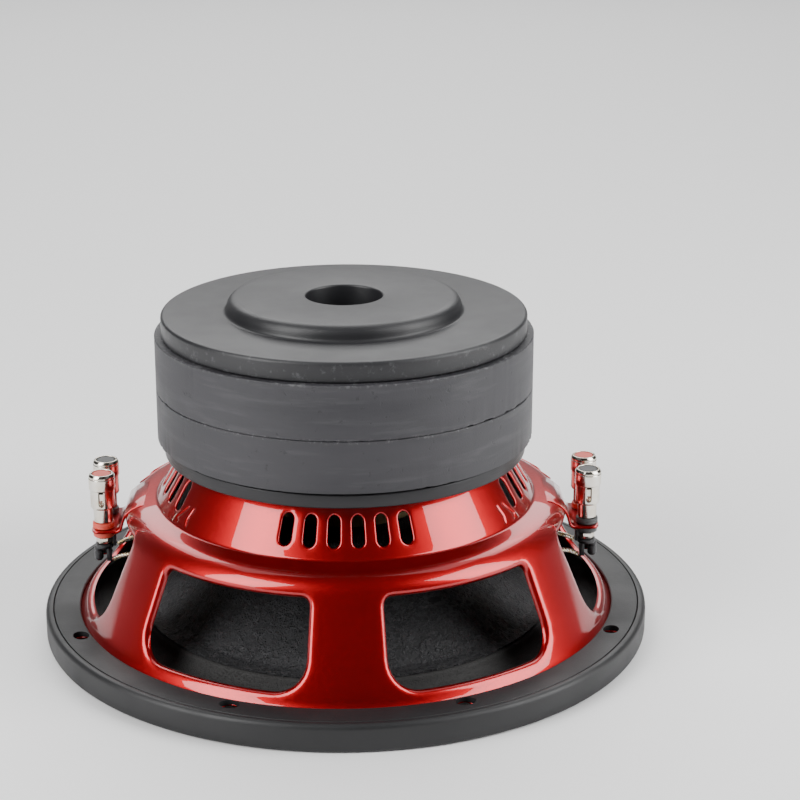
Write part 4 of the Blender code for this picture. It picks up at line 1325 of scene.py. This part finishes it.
def make_terminal(name, x, y):
    """One push terminal: sleeve, post, insulators above and below the tab, nut and solder lug."""
    colour = marking(name)
    make_sleeve(name, x, y)
    make_post(name, x, y)
    bore = 2.2
    flange = [(bore, 49.7, 0.15), (4.75, 49.7, 0.35), (4.9, 48.6, 0.3), (4.65, 48.3, 0.2), (4.9, 48.0, 0.2)]
    spigot = [(4.9, 47.2, 0.2), (2.9, 47.2, 0.1), (2.9, 45.9, 0.15), (bore, 45.9, 0.1)]
    upper = turned(f"{name}_upper_bush", loop_of(flange + spigot, 3), colour, FINE, (x, y))
    stand_in(upper, "frame", colour, f"{name}_upper_insulator")
    washer = loop_of([(bore, 45.4, 0.15), (4.7, 45.4, 0.3), (4.7, 43.0, 0.5), (bore, 43.0, 0.15)], 4)
    lower = turned(f"{name}_lower_washer", washer, colour, FINE, (x, y))
    stand_in(lower, "frame", colour, f"{name}_lower_insulator")
    hexagon = [(2.6, 42.7), (3.7, 42.7), (3.7, 39.9), (2.6, 39.9)]
    nut = turned(f"{name}_hex_nut", hexagon, "nickel", 6, (x, y), True, 30)
    bevel(nut, 0.22, 2, 30, 30)
    stand_in(nut, "frame", "nickel", f"{name}_nut")
    make_lug(name, x, y, -1 if x < 0 else 1)


def make_lug(name, x, y, side):
    """Solder lug: washer, flat inner leg, and the thick crimped outer leg."""
    washer = loop_of([(2.2, 39.6, 0.1), (4.0, 39.6, 0.2), (4.0, 37.6, 0.3), (2.2, 37.6, 0.1)], 2)
    lug = turned(f"{name}_solder_lug", washer, "lug", FINE, (x, y), True, 35)
    place = Matrix.Translation(Vector((x - side * 1.9, y, 34.7)) * MM)
    cut(lug, box_mesh(place @ Matrix.Diagonal((0.0020, 0.0030, 0.0072, 1))), 35, "UNION")
    crimp = [(0, 38.2), (1.9, 38.2, 0.2), (2.0, 36.6, 0.3), (1.8, 35.9, 0.3), (2.0, 35.2, 0.3)]
    mouth = [(2.0, 32.3, 0.5), (1.2, 31.3, 0.3), (0, 31.3)]
    cut(lug, lathe("barrel", rounded(crimp + mouth, 3), 32, False, (x + side * 2.7, y)), 35, "UNION")
    bevel(lug, 0.1, 2, 50, 35)
    stand_in(lug, "frame", "lug_metal", f"{name}_lug")


LEAD_ROUTE = (
    (103.8, 9.0, 31.6),
    (102.2, 9.0, 32.3),
    (99.5, 9.4, 33.4),
    (95.0, 10.4, 34.1),
    (89.0, 12.0, 34.0),
    (82.0, 14.0, 33.6),
    (75.0, 15.8, 33.9),
    (68.0, 17.0, 35.0),
    (61.5, 17.6, 36.4),
    (56.0, 17.8, 36.6),
    (52.6, 17.8, 35.9),
)


def make_lead(name, x, y):
    """A tinsel lead: five strands twisted round a core."""
    flip = Matrix.Diagonal((math.copysign(1, x), math.copysign(1, y), 1))
    route = [flip @ p for p in curve_through(LEAD_ROUTE, 16)]
    strands = [[] for _ in range(5)]
    side = Vector((0, 0, 1))
    length = 0.0
    for i, here in enumerate(route):
        along = (route[min(i + 1, len(route) - 1)] - route[max(i - 1, 0)]).normalized()
        side = (side - along * side.dot(along)).normalized()
        other = along.cross(side)
        if i:
            length += (here - route[i - 1]).length
        for k, strand in enumerate(strands):
            angle = math.tau * (k / 5 + length / 6.5)
            strand.append(tuple(here + (side * math.cos(angle) + other * math.sin(angle)) * 0.62))
    bits = [tube(strand, 0.44, 8) for strand in strands]
    bits.append(tube([tuple(p) for p in route], 0.4, 8))
    lead = add(f"{name}_tinsel_lead", joined(f"{name}_tinsel_lead", bits), "braid", 60)
    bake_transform(lead)
    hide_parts(f"{name}_lead")


def main():
    """Builds the scene."""
    make_camera()
    make_world()
    make_looks()
    make_floor()
    softbox("left_softbox", -57, 31, 1.2, (0.62, 1.2), 19)
    softbox("right_softbox", 74, 28, 1.2, (0.70, 1.2), 20)
    softbox("top_softbox", 180, 62, 1.5, (1.6, 1.2), 8)
    softbox("floor_wash", 180, 60, 2.0, (3.0, 2.0), 60, (0, 1.0, 0))
    make_basket()
    make_rings()
    make_sectors("foam_surround", surround_line(), 0.6, "foam", "surround", True)
    make_sectors("spider_cloth", spider_line(), 0.5, "spider", "spider")
    make_top_plate()
    make_magnets()
    make_yoke()
    make_plate_screws()
    make_cone()
    make_band()
    make_dust_cap()
    make_coil()
    for name, (x, y) in TERMINALS.items():
        make_terminal(name, x, y)
        make_lead(name, x, y)


main()
